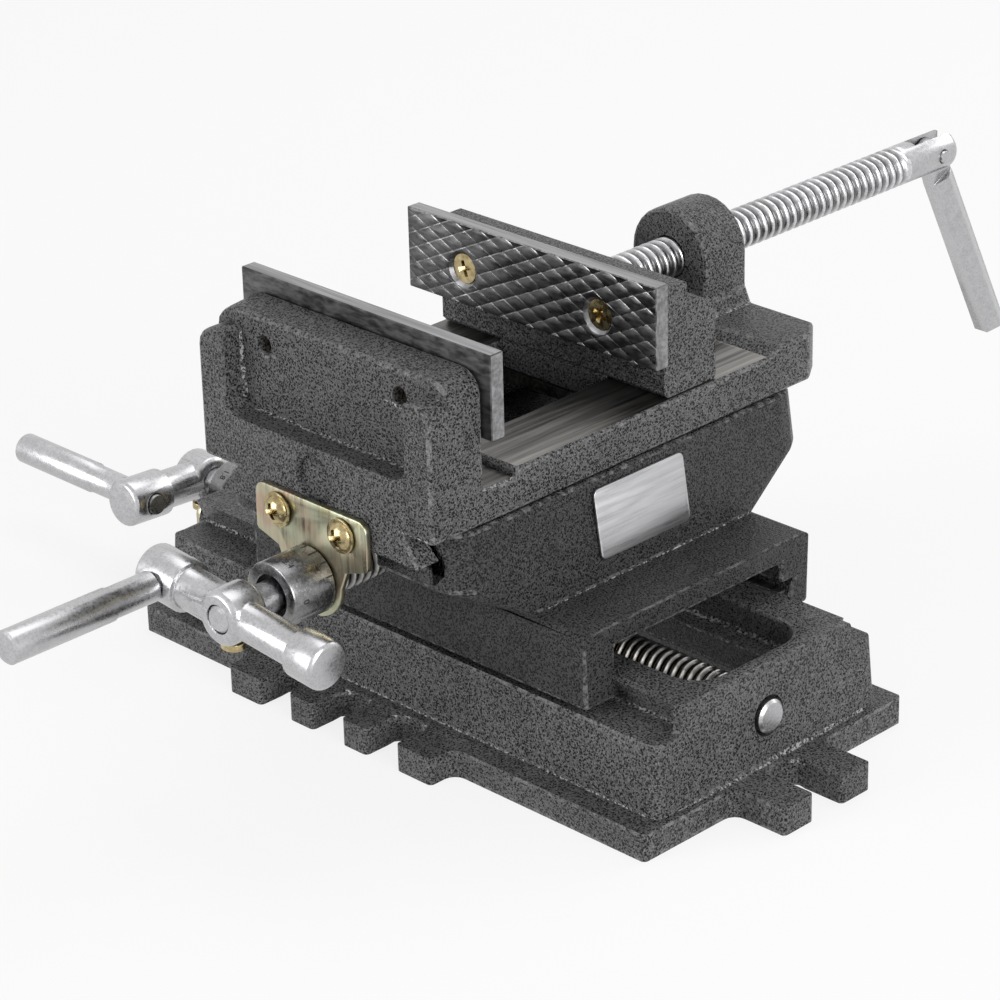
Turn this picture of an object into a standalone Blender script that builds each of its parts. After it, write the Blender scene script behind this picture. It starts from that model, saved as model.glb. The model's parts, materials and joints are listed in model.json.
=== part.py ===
"""Cross slide vise: a drill press vise on two crossed dovetail slides.

Metres, +Z up. X runs along the base, Y along the clamping direction, with the movable jaw at +Y. The pieces
are laid out about the middle of the base, and the root empty then puts the origin under a side lug of the
flange, where there is iron to rest on.
"""

import math

import bmesh
import bpy
from mathutils import Matrix, Vector

# Fits shared by every piece
CLEAR = 0.0003
OVERRUN = 0.003
MERGE = 0.0004
ARC_STEPS = 4
ROUND_SEGMENTS = 28
SMALL_SEGMENTS = 16

# Layout of the whole vise
SEAT_OFFSET_Y = 0.0520
VISE_CENTRE_X = 0.0045
SADDLE_OFFSET_X = 0.0031

# Base casting: flange, its bolt lugs, the block and the lower way
FLANGE_LENGTH = 0.2112
FLANGE_WIDTH = 0.1106
FLANGE_THICK = 0.0086
FLANGE_CORNER_R = 0.0020
SIDE_SLOT_WIDTH = 0.0125
SIDE_SLOT_PITCH = 0.0229
SIDE_SLOT_COUNT = 3
SIDE_SLOT_DEPTH = 0.0146
SIDE_LUG_END_WIDTH = 0.0142
SIDE_LUG_REACH = 0.0096
SIDE_ROW_OFFSET_X = -0.0119
SLOT_ROUND_SHARE = 0.98
END_SLOT_WIDTH = 0.0120
END_SLOT_DEPTH = 0.0195
END_LUG_WIDTH = 0.0125
END_LUG_REACH = 0.0186
LUG_FILLET_R = 0.0040
LUG_CORNER_R = 0.0015
BLOCK_LENGTH = 0.2036
BLOCK_WIDTH = 0.0924
BLOCK_DRAFT = 0.0012
BLOCK_CORNER_R = 0.0035
LEDGE_Z = 0.0307
WAY_TOP_Z = 0.0390
WAY_TOP_WIDTH = 0.0720
WAY_NECK_WIDTH = 0.0640
WAY_END_WALL = 0.0032
WELL_WIDTH = 0.0460
WELL_CORNER_R = 0.0100
WELL_END_WALL = 0.0055
WELL_FLOOR_Z = 0.0302
SLOT_WIDTH = 0.0330
SLOT_END_WALL = 0.0090
HOLLOW_TOP_Z = 0.0210
HOLLOW_TOP_WIDTH = 0.0720
HOLLOW_FOOT_WIDTH = 0.0820
HOLLOW_END_WALL = 0.0065
HOLLOW_CORNER_R = 0.0060
BOSS_THICK = 0.0070
BOSS_WIDTH = 0.0580
BOSS_FOOT_Z = 0.0100
BOSS_TOP_Z = 0.0300

# Feed screws, their dials and their cranks
LOWER_AXIS_Z = 0.0228
UPPER_AXIS_Z = 0.0635
FEED_THREAD_R = 0.0070
FEED_SHANK_R = 0.0048
FEED_STUB_R = 0.0040
FEED_TIP_R = 0.0051
FEED_TIP_CHAMFER = 0.0008
TIP_BORE_CLEAR = 0.0011
TIP_PROUD = 0.0018
TIP_LENGTH = 0.0120
UPPER_SCREW_END_Y = 0.0360
DIAL_R = 0.0100
DIAL_LENGTH = 0.0155
DIAL_CHAMFER = 0.0007
DIAL_RECESS_R = 0.0064
DIAL_RECESS_DEPTH = 0.0050
HUB_GAP = 0.0076
HUB_R = 0.00825
HUB_LENGTH = 0.0120
HUB_CHAMFER = 0.0012
ARM_HANDLE_REACH = 0.0260
ARM_HANDLE_TIP = 0.0338
ARM_HANDLE_R = 0.0063
ARM_BALL_R = 0.0077
ARM_NECK_R = 0.0056
KNOB_R = 0.0073
KNOB_LENGTH = 0.0110
KNOB_REACH = 0.0385
KNOB_CHAMFER = 0.0010
UPPER_ARM_TILT = math.radians(5.2)
LOWER_ARM_TILT = math.radians(-3.0)
HANDLE_R = 0.0050
HANDLE_NECK_R = 0.0046
HANDLE_LENGTH = 0.0508
HANDLE_NECK_SHARE = 0.29
HANDLE_CHAMFER = 0.0006
HANDLE_RIVET_R = 0.0032
HANDLE_RIVET_PROUD = 0.0006
HUB_SCREW_R = 0.0022
HUB_SCREW_HEAD_R = 0.0036
HUB_SCREW_HEAD = 0.0022

# Bearing plates, pressed from sheet
PLATE_THICK = 0.0020
PLATE_CORNER_R = 0.0035
LOBE_R = 0.0115
UPPER_PLATE_WIDTH = 0.0455
UPPER_PLATE_TOP_Z = 0.0870
UPPER_PLATE_SIDE_Z = 0.0722
UPPER_PLATE_NECK_Z = 0.0693
UPPER_PLATE_NECK_WIDTH = 0.0280
UPPER_PLATE_SCREW_X = 0.0130
UPPER_PLATE_SCREW_Z = 0.0808
LOWER_PLATE_LENGTH = 0.0560
LOWER_PLATE_HEIGHT = 0.0180
LOWER_PLATE_SCREW_Y = 0.0200
PAN_HEAD_R = 0.00525
PAN_HEAD_HEIGHT = 0.0030
PAN_SHANK_R = 0.0025
PAN_SHANK_LENGTH = 0.0085

# Saddle casting: block over the base, tower under the vise
SADDLE_LENGTH = 0.1372
SADDLE_WIDTH = 0.0940
SADDLE_LEDGE_GAP = 0.0022
SADDLE_BLOCK_TOP_Z = 0.0556
SADDLE_EDGE_R = 0.0020
SADDLE_ROOF_Z = 0.0490
SADDLE_RELIEF_Z = 0.0425
SADDLE_CHANNEL_WIDTH = 0.0700
LOWER_GIB_THICK = 0.0032
TOWER_TOP_Z = 0.0861
TOWER_SHOULDER_Z = 0.0690
TOWER_FOOT_WIDTH = 0.1026
TOWER_TOP_WIDTH = 0.0932
TOWER_FOOT_LENGTH = 0.0950
TOWER_LENGTH = 0.1450
TOWER_CORNER_R = 0.0100
TOWER_FOOT_CORNER_R = 0.0040
TOWER_CHANNEL_WIDTH = 0.0320
TOWER_CHANNEL_Z = 0.0545
TOWER_CHANNEL_R = 0.0060
TOWER_GROOVE_Z = 0.0750
UPPER_GIB_THICK = 0.0020

# Label plate on the tower
LABEL_LENGTH = 0.0370
LABEL_HEIGHT = 0.0210
LABEL_THICK = 0.0010
LABEL_CORNER_R = 0.0020
LABEL_CENTRE_Z = 0.0728

# Feed nuts and gib screws
LOWER_NUT_LENGTH = 0.0300
LOWER_NUT_WIDTH = 0.0240
LOWER_NUT_FOOT = 0.0095
UPPER_NUT_LENGTH = 0.0200
UPPER_NUT_WIDTH = 0.0260
UPPER_NUT_TOP = 0.0095
UPPER_NUT_INSET = 0.0008
NUT_SCREW_R = 0.0025
NUT_SCREW_HEAD_R = 0.0042
NUT_SCREW_HEAD = 0.0030
NUT_SCREW_BITE = 0.0065
NUT_SCREW_OFFSET_X = 0.0100
NUT_SCREW_OFFSET_Y = 0.0075
GIB_SCREW_R = 0.0023
GIB_SCREW_PROUD = 0.0070
GIB_SCREW_PITCH = 0.0400
GIB_SCREW_COUNT = 3
GIB_NUT_R = 0.0046
GIB_NUT_THICK = 0.0036

# Vise body casting
BODY_WIDTH = 0.0934
BODY_FRONT_Y = -0.0796
BODY_REAR_Y = 0.0836
BODY_CORNER_X = 0.0052
BODY_CORNER_Y = 0.0076
BODY_FOOT_GAP = 0.0008
RAIL_TOP_Z = 0.0994
RAIL_START_Y = -0.0470
RAIL_RELIEF = 0.0025
CHANNEL_WIDTH = 0.0430
CHANNEL_REAR_Y = 0.0560
CHANNEL_LIP = 0.0080
CHANNEL_UNDERCUT = 0.0050
UNDERCUT_END_SHARE = 0.06
BODY_NECK_WIDTH = 0.0676
BODY_DOVE_WIDTH = 0.0824
BODY_DOVE_Z = 0.0780
FIXED_FACE_Y = -0.0596
FIXED_BACK_Y = -0.0716
FIXED_TOP_Z = 0.1323
FIXED_TOP_FALL = 0.0012
FIXED_CORNER_R = 0.0070
RIM_WIDTH = 0.0099
RIM_TOP_Z = 0.1268
RIM_CORNER_R = 0.0060
POCKET_FLOOR_Z = 0.1025
POCKET_CORNER_R = 0.0050
SHOULDER_TOP_Z = 0.1017
SHOULDER_START_Y = 0.0580
SHOULDER_RUN = 0.0040
LUG_FRONT_Y = 0.0655
LUG_R = 0.0150
LUG_FLARE = 0.0022
MEDALLION_R = 0.0075
MEDALLION_DEPTH = 0.0004
MEDALLION_Z = 0.0945

# Jaws
JAW_LENGTH = 0.1000
JAW_HEIGHT = 0.0252
JAW_THICK = 0.0050
JAW_FOOT_Z = 0.1122
JAW_SCREW_Z = 0.1232
JAW_SCREW_X = 0.0273
JAW_SCREW_HEAD_R = 0.0047
JAW_SINK_R = 0.0057
JAW_SCREW_R = 0.0026
JAW_SCREW_SINK = 0.0028
JAW_SCREW_LENGTH = 0.0130
JAW_OPENING = 0.0602
MOVABLE_WIDTH = 0.0900
MOVABLE_TOP_Z = 0.1332
MOVABLE_TOP_DEPTH = 0.0128
MOVABLE_STEP_Z = 0.1286
MOVABLE_STEP_FALL = 0.0048
MOVABLE_DEPTH = 0.0251
MOVABLE_BACK_R = 0.0070
MOVABLE_EDGE_R = 0.0012
MOVABLE_FOOT_CHAMFER = 0.0015
MOVABLE_FOOT_SETBACK = 0.0032
MOVABLE_FOOT_TOP_Z = 0.1105
TONGUE_DEPTH = 0.0180
TONGUE_DROP_CLEAR = 0.0003
KEEPER_WIDTH = 0.0500
KEEPER_LENGTH = 0.0170
KEEPER_THICK = 0.0040
KEEPER_SCREW_X = 0.0130
NOSE_R = 0.0048
NOSE_LENGTH = 0.0165
NOSE_GROOVE_R = 0.0034
NOSE_GROOVE_WIDTH = 0.0040
RETAIN_PIN_R = 0.0015
RETAIN_PIN_Y_SHARE = 0.52

# Clamp screw and its folding handle
CLAMP_AXIS_Z = 0.1170
CLAMP_R = 0.00635
CLAMP_END_Y = 0.1962
CLAMP_EYE_SETBACK = 0.0072
CLAMP_SLOT_WIDTH = 0.0052
CLAMP_SLOT_DEPTH = 0.0175
TOMMY_PIN_R = 0.0020
TOMMY_PIN_PROUD = 0.0005
TOMMY_FLATS = 0.0090
TOMMY_LENGTH = 0.0770
TOMMY_NECK = 0.0095
TOMMY_TONGUE_R = 0.0046
TOMMY_TILT = math.radians(26.5)


def clear_scene():
    for old in list(bpy.data.objects):
        bpy.data.objects.remove(old, do_unlink=True)


def finish_of(name, colour, roughness, metallic):
    """One Principled material for a piece or a family of pieces."""
    material = bpy.data.materials.new(name)
    material.use_nodes = True
    shader = material.node_tree.nodes["Principled BSDF"]
    shader.inputs["Base Color"].default_value = (*colour, 1)
    shader.inputs["Roughness"].default_value = roughness
    shader.inputs["Metallic"].default_value = metallic
    return material


clear_scene()
HAMMER_PAINT = finish_of("hammer_paint", (0.045, 0.045, 0.048), 0.42, 0.15)
MACHINED_IRON = finish_of("machined_iron", (0.16, 0.16, 0.165), 0.38, 0.9)
JAW_STEEL = finish_of("jaw_steel", (0.12, 0.12, 0.125), 0.4, 0.9)
BRIGHT_ZINC = finish_of("bright_zinc", (0.62, 0.63, 0.64), 0.32, 1)
YELLOW_ZINC = finish_of("yellow_zinc", (0.66, 0.55, 0.34), 0.33, 1)
BRASS_SCREW = finish_of("brass_screw", (0.6, 0.46, 0.22), 0.34, 1)
THREAD_STEEL = finish_of("thread_steel", (0.3, 0.3, 0.31), 0.35, 1)
LABEL_METAL = finish_of("label_metal", (0.66, 0.66, 0.68), 0.3, 1)
BRONZE_NUT = finish_of("bronze_nut", (0.5, 0.33, 0.16), 0.42, 1)
BLACK_SCREW = finish_of("black_screw", (0.07, 0.07, 0.075), 0.4, 0.8)


def joint_frame(name, parent, place):
    """An empty on a joint's axis; the pieces of that body hang on it."""
    empty = bpy.data.objects.new(name, None)
    bpy.context.scene.collection.objects.link(empty)
    empty.empty_display_size = FLANGE_THICK
    empty.parent = parent
    base = parent["place"] if parent else (0, 0, 0)
    empty.location = [place[i] - base[i] for i in range(3)]
    empty["place"] = place
    return empty


def solid_object(name, mesh, finish, body):
    """A mesh laid out in the vise's own coordinates, hung on its body's joint frame."""
    place = Vector(body["place"][:])
    mesh.transform(Matrix.Translation(-place))
    mesh.materials.append(finish)
    obj = bpy.data.objects.new(name, mesh)
    bpy.context.scene.collection.objects.link(obj)
    obj.parent = body
    return obj


def combine(target, mesh, operation):
    """Adds or cuts a shape with an exact Boolean; the helper stays in the file as a wire."""
    helper = solid_object(f"{target.name}_{operation.lower()}_{len(target.modifiers)}", mesh,
                          HAMMER_PAINT, target.parent)
    helper.hide_render = True
    helper.display_type = "WIRE"
    helper.hide_set(True)
    step = target.modifiers.new(helper.name, "BOOLEAN")
    step.operation = operation
    step.solver = "EXACT"
    step.object = helper


def cut(target, *meshes):
    for mesh in meshes:
        combine(target, mesh, "DIFFERENCE")


def add(target, *meshes):
    for mesh in meshes:
        combine(target, mesh, "UNION")


def round_over(obj, sharp_angle=math.radians(40)):
    """Shades a turned piece smooth with its edges kept."""
    obj.data.shade_smooth()
    obj.data.set_sharp_from_angle(angle=sharp_angle)
    return obj


# Outlines
def box_outline(a0, a1, b0, b1):
    return [(a0, b0), (a1, b0), (a1, b1), (a0, b1)]


def rounded(corners, radii, steps=ARC_STEPS):
    """A polygon with each corner turned into an arc of its own radius."""
    if not hasattr(radii, "__len__"):
        radii = [radii] * len(corners)
    points = []
    for index, corner in enumerate(corners):
        radius = radii[index]
        here = Vector(corner)
        back = Vector(corners[index - 1]) - here
        ahead = Vector(corners[(index + 1) % len(corners)]) - here
        if radius <= 0:
            points.append(tuple(here))
            continue
        half = back.angle(ahead) / 2
        run = radius / math.tan(half)
        start = here + back.normalized() * run
        middle = here + (back.normalized() + ahead.normalized()).normalized() * radius / math.sin(half)
        sweep = (start - middle).angle_signed(here + ahead.normalized() * run - middle)
        for step in range(steps + 1):
            turn = Matrix.Rotation(-sweep * step / steps, 2)
            points.append(tuple(middle + turn @ (start - middle)))
    return points


def arc(centre, radius, start, end, steps=ROUND_SEGMENTS // 2):
    """Points on an arc, with its angles in turns."""
    points = []
    for step in range(steps + 1):
        angle = math.tau * (start + (end - start) * step / steps)
        points.append((centre[0] + radius * math.cos(angle), centre[1] + radius * math.sin(angle)))
    return points


# Solids
def mesh_from(bm, name):
    bmesh.ops.recalc_face_normals(bm, faces=bm.faces)
    mesh = bpy.data.meshes.new(name)
    bm.to_mesh(mesh)
    bm.free()
    return mesh


def at_axis(axis, point, along):
    """A point of an outline, with its place along the named axis put in."""
    first, second = point
    return {"X": (along, first, second), "Y": (first, along, second), "Z": (first, second, along)}[axis]


def loft(axis, sections):
    """A closed solid through sections (place along the axis, outline), all with as many points."""
    bm = bmesh.new()
    rings = []
    for along, outline in sections:
        rings.append([bm.verts.new(at_axis(axis, point, along)) for point in outline])
    count = len(rings[0])
    for low, high in zip(rings, rings[1:]):
        for index in range(count):
            after = (index + 1) % count
            bm.faces.new((low[index], low[after], high[after], high[index]))
    bmesh.ops.triangulate(bm, faces=[face for face in bm.faces if len(sections) > 2 or tapers(sections)])
    bm.faces.new(rings[0])
    bm.faces.new(rings[-1])
    return mesh_from(bm, "loft")


def tapers(sections):
    """True where the first and last outline differ, so that the side faces may be twisted."""
    return sections[0][1] != sections[-1][1]


def prism(axis, outline, start, end):
    return loft(axis, [(start, outline), (end, outline)])


def turned(axis, centre, profile, segments=ROUND_SEGMENTS):
    """A solid of revolution. The profile's points are (along, radius) from one end on the axis to the other."""
    bm = bmesh.new()
    rings = []
    for along, radius in profile:
        if radius <= 0:
            rings.append([bm.verts.new(at_axis(axis, centre, along))])
            continue
        ring = []
        for index in range(segments):
            angle = math.tau * index / segments
            spot = (centre[0] + radius * math.cos(angle), centre[1] + radius * math.sin(angle))
            ring.append(bm.verts.new(at_axis(axis, spot, along)))
        rings.append(ring)
    for low, high in zip(rings, rings[1:]):
        for index in range(segments):
            after = (index + 1) % segments
            if len(low) == 1:
                bm.faces.new((low[0], high[after], high[index]))
            elif len(high) == 1:
                bm.faces.new((low[index], low[after], high[0]))
            else:
                bm.faces.new((low[index], low[after], high[after], high[index]))
    return mesh_from(bm, "turned")


def rod(axis, centre, start, end, radius, segments=ROUND_SEGMENTS, chamfer=0):
    if chamfer:
        step = math.copysign(chamfer, end - start)
        profile = [(start, 0), (start, radius - chamfer), (start + step, radius),
                   (end - step, radius), (end, radius - chamfer), (end, 0)]
    else:
        profile = [(start, 0), (start, radius), (end, radius), (end, 0)]
    return turned(axis, centre, profile, segments)


def tube(axis, centre, start, end, outer, inner, chamfer):
    """A bored collar: its outline turned round the axis and closed on itself."""
    step = math.copysign(chamfer, end - start)
    profile = [(start, inner), (start, outer - chamfer), (start + step, outer),
               (end - step, outer), (end, outer - chamfer), (end, inner)]
    bm = bmesh.new()
    rings = []
    for along, radius in profile:
        ring = []
        for index in range(ROUND_SEGMENTS):
            angle = math.tau * index / ROUND_SEGMENTS
            spot = (centre[0] + radius * math.cos(angle), centre[1] + radius * math.sin(angle))
            ring.append(bm.verts.new(at_axis(axis, spot, along)))
        rings.append(ring)
    for low, high in zip(rings, rings[1:] + rings[:1]):
        for index in range(ROUND_SEGMENTS):
            after = (index + 1) % ROUND_SEGMENTS
            bm.faces.new((low[index], low[after], high[after], high[index]))
    return mesh_from(bm, "tube")


# Joint frames, one for each body
ROOT = joint_frame("vise_root", None, (0, 0, 0))
ROOT.location = (0, SEAT_OFFSET_Y, 0)
BASE = joint_frame("base_body", ROOT, (0, 0, 0))
SADDLE_CENTRE_X = VISE_CENTRE_X + SADDLE_OFFSET_X
SADDLE = joint_frame("saddle_body", BASE, (SADDLE_CENTRE_X, 0, LEDGE_Z))
LOWER_SCREW = joint_frame("lower_screw_body", BASE, (0, 0, LOWER_AXIS_Z))
LOWER_DIAL = joint_frame("lower_dial_body", LOWER_SCREW, (0, 0, LOWER_AXIS_Z))
VISE = joint_frame("vise_body_frame", SADDLE, (VISE_CENTRE_X, 0, TOWER_TOP_Z))
UPPER_SCREW = joint_frame("upper_screw_body", VISE, (VISE_CENTRE_X, 0, UPPER_AXIS_Z))
UPPER_DIAL = joint_frame("upper_dial_body", UPPER_SCREW, (VISE_CENTRE_X, 0, UPPER_AXIS_Z))
JAW = joint_frame("movable_jaw_body", VISE, (VISE_CENTRE_X, 0, RAIL_TOP_Z))
CLAMP = joint_frame("clamp_screw_body", JAW, (VISE_CENTRE_X, 0, CLAMP_AXIS_Z))
TOMMY_PIVOT_Y = CLAMP_END_Y - CLAMP_EYE_SETBACK
TOMMY = joint_frame("clamp_handle_body", CLAMP, (VISE_CENTRE_X, TOMMY_PIVOT_Y, CLAMP_AXIS_Z))

# Places that several pieces share
BLOCK_END_X = BLOCK_LENGTH / 2
BLOCK_SIDE_Y = BLOCK_WIDTH / 2
WAY_SLOPE = (WAY_TOP_WIDTH - WAY_NECK_WIDTH) / 2 / (WAY_TOP_Z - LEDGE_Z)
SADDLE_FOOT_Z = LEDGE_Z + SADDLE_LEDGE_GAP
BODY_FOOT_Z = TOWER_TOP_Z + BODY_FOOT_GAP
BODY_SLOPE = (BODY_DOVE_WIDTH - BODY_NECK_WIDTH) / 2 / (BODY_FOOT_Z - BODY_DOVE_Z)
BOSS_FACE_X = -BLOCK_END_X - BOSS_THICK
LOWER_PLATE_FACE_X = BOSS_FACE_X - PLATE_THICK - CLEAR
UPPER_PLATE_FACE_Y = BODY_FRONT_Y - PLATE_THICK - CLEAR
MOVABLE_FACE_Y = FIXED_FACE_Y + 2 * JAW_THICK + 2 * CLEAR + JAW_OPENING
UPPER_NUT_CENTRE_Y = NUT_SCREW_HEAD_R + UPPER_NUT_INSET - SADDLE_CHANNEL_WIDTH / 2


def way_half(height):
    """Half width of the base's dovetail at a height."""
    return WAY_NECK_WIDTH / 2 + WAY_SLOPE * (height - LEDGE_Z)


def dove_half(height):
    """Half width of the vise body's dovetail at a height."""
    return BODY_NECK_WIDTH / 2 + BODY_SLOPE * (BODY_FOOT_Z - height)


def tower_half(height):
    """Half width of the tower's drafted wall at a height."""
    share = (height - SADDLE_BLOCK_TOP_Z) / (TOWER_TOP_Z - SADDLE_BLOCK_TOP_Z)
    return (TOWER_FOOT_WIDTH + share * (TOWER_TOP_WIDTH - TOWER_FOOT_WIDTH)) / 2


# Base casting
def flange_side(half_length, edge, reach, row_offset, slots, slot_width, slot_depth, end_width):
    """Corners (along, out, radius) of one flange side: a row of lugs with open slots between them."""
    row_start = row_offset + slots[0] - slot_width / 2 - end_width
    row_end = row_offset + slots[-1] + slot_width / 2 + end_width
    tip = edge + reach
    floor = tip - slot_depth
    corners = [(-half_length, edge, FLANGE_CORNER_R), (row_start, edge, LUG_FILLET_R),
               (row_start, tip, LUG_CORNER_R)]
    for centre in slots:
        left = row_offset + centre - slot_width / 2
        right = left + slot_width
        bottom_r = slot_width / 2 * SLOT_ROUND_SHARE
        corners += [(left, tip, LUG_CORNER_R), (left, floor, bottom_r), (right, floor, bottom_r),
                    (right, tip, LUG_CORNER_R)]
    return corners + [(row_end, tip, LUG_CORNER_R), (row_end, edge, LUG_FILLET_R)]


def flange_outline():
    """The whole flange, its four sides taken one after the other."""
    half_x, half_y = FLANGE_LENGTH / 2, FLANGE_WIDTH / 2
    middle = (SIDE_SLOT_COUNT - 1) / 2
    side_slots = [SIDE_SLOT_PITCH * (index - middle) for index in range(SIDE_SLOT_COUNT)]
    end = flange_side(half_y, half_x, END_LUG_REACH, 0, [0], END_SLOT_WIDTH, END_SLOT_DEPTH, END_LUG_WIDTH)
    points, radii = [], []
    for side in (-1, 1):
        row = flange_side(half_x, half_y, SIDE_LUG_REACH, -side * SIDE_ROW_OFFSET_X, side_slots,
                          SIDE_SLOT_WIDTH, SIDE_SLOT_DEPTH, SIDE_LUG_END_WIDTH)
        points += [(-side * along, side * out) for along, out, _ in row]
        points += [(-side * out, -side * along) for along, out, _ in end]
        radii += [radius for _, _, radius in row + end]
    return rounded(points, radii)


def build_base_casting():
    base = solid_object("base_casting", prism("Z", flange_outline(), 0, FLANGE_THICK), HAMMER_PAINT, BASE)
    foot = FLANGE_THICK - MERGE
    add(base, loft("Z", [(foot, block_outline(BLOCK_DRAFT)), (LEDGE_Z, block_outline(0))]))
    add(base, *way_meshes())
    boss = rounded(box_outline(-BOSS_WIDTH / 2, BOSS_WIDTH / 2, BOSS_FOOT_Z, BOSS_TOP_Z), LUG_FILLET_R)
    add(base, prism("X", boss, BOSS_FACE_X, -BLOCK_END_X + MERGE + BLOCK_DRAFT))
    cut(base, *well_meshes())
    axis = (0, LOWER_AXIS_Z)
    inner = BLOCK_END_X - HOLLOW_END_WALL - OVERRUN
    cut(base, rod("X", axis, BOSS_FACE_X - OVERRUN, -inner, FEED_THREAD_R + CLEAR))
    cut(base, rod("X", axis, inner, BLOCK_END_X + OVERRUN, FEED_TIP_R + TIP_BORE_CLEAR))
    for side in (-1, 1):
        spot = (side * LOWER_PLATE_SCREW_Y, LOWER_AXIS_Z)
        depth = BOSS_FACE_X + PAN_SHANK_LENGTH + CLEAR
        cut(base, rod("X", spot, BOSS_FACE_X - OVERRUN, depth, PAN_SHANK_R + CLEAR, SMALL_SEGMENTS))
    return base


def block_outline(grow):
    half_x = BLOCK_END_X + grow
    half_y = BLOCK_SIDE_Y + grow
    return rounded(box_outline(-half_x, half_x, -half_y, half_y), BLOCK_CORNER_R)


def way_meshes():
    """The dovetail way, with its V grooves closed by a plain wall at +X and open at -X."""
    top, neck = WAY_TOP_WIDTH / 2, way_half(LEDGE_Z - MERGE)
    foot = LEDGE_Z - MERGE
    dovetail = [(-neck, foot), (neck, foot), (top, WAY_TOP_Z), (-top, WAY_TOP_Z)]
    wall_start = BLOCK_END_X - WAY_END_WALL
    wall = rounded(box_outline(-top, top, foot, WAY_TOP_Z), [0, 0, SADDLE_EDGE_R, SADDLE_EDGE_R])
    return (prism("X", dovetail, -BLOCK_END_X, wall_start + MERGE),
            prism("X", wall, wall_start, BLOCK_END_X))


def well_meshes():
    """The opening that the feed nut travels in: a well, a slot through its floor, and the hollow foot."""
    well_x = BLOCK_END_X - WELL_END_WALL
    well = rounded(box_outline(-well_x, well_x, -WELL_WIDTH / 2, WELL_WIDTH / 2), WELL_CORNER_R)
    slot_x = BLOCK_END_X - SLOT_END_WALL
    slot = box_outline(-slot_x, slot_x, -SLOT_WIDTH / 2, SLOT_WIDTH / 2)
    sections = []
    for height, width in ((-OVERRUN, HOLLOW_FOOT_WIDTH), (HOLLOW_TOP_Z, HOLLOW_TOP_WIDTH)):
        half_x = BLOCK_END_X - HOLLOW_END_WALL
        corners = box_outline(-half_x, half_x, -width / 2, width / 2)
        sections.append((height, rounded(corners, HOLLOW_CORNER_R)))
    return (prism("Z", well, WELL_FLOOR_Z, WAY_TOP_Z + OVERRUN),
            prism("Z", slot, HOLLOW_TOP_Z - OVERRUN, WELL_FLOOR_Z + OVERRUN),
            loft("Z", sections))


# Pressed plates and their pan head screws
def pan_screw(name, axis, centre, seat, inward, body, finish=BRASS_SCREW):
    """A pan head screw, its head outside the seat and its shank running inward, +1 or -1 along the axis."""
    rim_share = 0.55
    crown_share = 0.62
    out = seat - inward * (PAN_HEAD_HEIGHT + CLEAR)
    under = seat - inward * CLEAR
    shoulder = out + inward * PAN_HEAD_HEIGHT * (1 - rim_share)
    tip = seat + inward * (PLATE_THICK + PAN_SHANK_LENGTH)
    profile = [(out, 0), (out, PAN_HEAD_R * crown_share), (shoulder, PAN_HEAD_R), (under, PAN_HEAD_R),
               (under, PAN_SHANK_R), (tip, PAN_SHANK_R), (tip, 0)]
    return round_over(solid_object(name, turned(axis, centre, profile, SMALL_SEGMENTS), finish, body))


def build_lower_bearing_plate():
    half = LOWER_PLATE_LENGTH / 2
    tall = LOWER_PLATE_HEIGHT / 2
    outline = rounded(box_outline(-half, half, LOWER_AXIS_Z - tall, LOWER_AXIS_Z + tall), PLATE_CORNER_R)
    back = LOWER_PLATE_FACE_X + PLATE_THICK
    plate = solid_object("lower_bearing_plate", prism("X", outline, LOWER_PLATE_FACE_X, back), YELLOW_ZINC, BASE)
    front, rear = LOWER_PLATE_FACE_X - OVERRUN, back + OVERRUN
    cut(plate, rod("X", (0, LOWER_AXIS_Z), front, rear, FEED_SHANK_R + CLEAR))
    for side, word in ((-1, "front"), (1, "rear")):
        spot = (side * LOWER_PLATE_SCREW_Y, LOWER_AXIS_Z)
        cut(plate, rod("X", spot, front, rear, PAN_SHANK_R + CLEAR, SMALL_SEGMENTS))
        pan_screw(f"lower_bearing_screw_{word}", "X", spot, LOWER_PLATE_FACE_X, 1, BASE)


def build_upper_bearing_plate():
    half = UPPER_PLATE_WIDTH / 2
    neck = UPPER_PLATE_NECK_WIDTH / 2
    lobe = arc((0, UPPER_AXIS_Z), LOBE_R, 0, -0.5, ROUND_SEGMENTS // 2)
    corners = [(half, UPPER_PLATE_TOP_Z), (half, UPPER_PLATE_SIDE_Z), (neck, UPPER_PLATE_NECK_Z)]
    shoulders = corners + lobe + [(-a, b) for a, b in reversed(corners)]
    radii = [PLATE_CORNER_R, PLATE_CORNER_R / 2, 0] + [0] * len(lobe) + [0, PLATE_CORNER_R / 2, PLATE_CORNER_R]
    outline = [(VISE_CENTRE_X + a, b) for a, b in rounded(shoulders, radii)]
    back = UPPER_PLATE_FACE_Y + PLATE_THICK
    plate = solid_object("upper_bearing_plate", prism("Y", outline, UPPER_PLATE_FACE_Y, back), YELLOW_ZINC, VISE)
    front, rear = UPPER_PLATE_FACE_Y - OVERRUN, back + OVERRUN
    cut(plate, rod("Y", (VISE_CENTRE_X, UPPER_AXIS_Z), front, rear, FEED_SHANK_R + CLEAR))
    for side, word in ((-1, "left"), (1, "right")):
        spot = (VISE_CENTRE_X + side * UPPER_PLATE_SCREW_X, UPPER_PLATE_SCREW_Z)
        cut(plate, rod("Y", spot, front, rear, PAN_SHANK_R + CLEAR, SMALL_SEGMENTS))
        pan_screw(f"upper_bearing_screw_{word}", "Y", spot, UPPER_PLATE_FACE_Y, 1, VISE)


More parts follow.
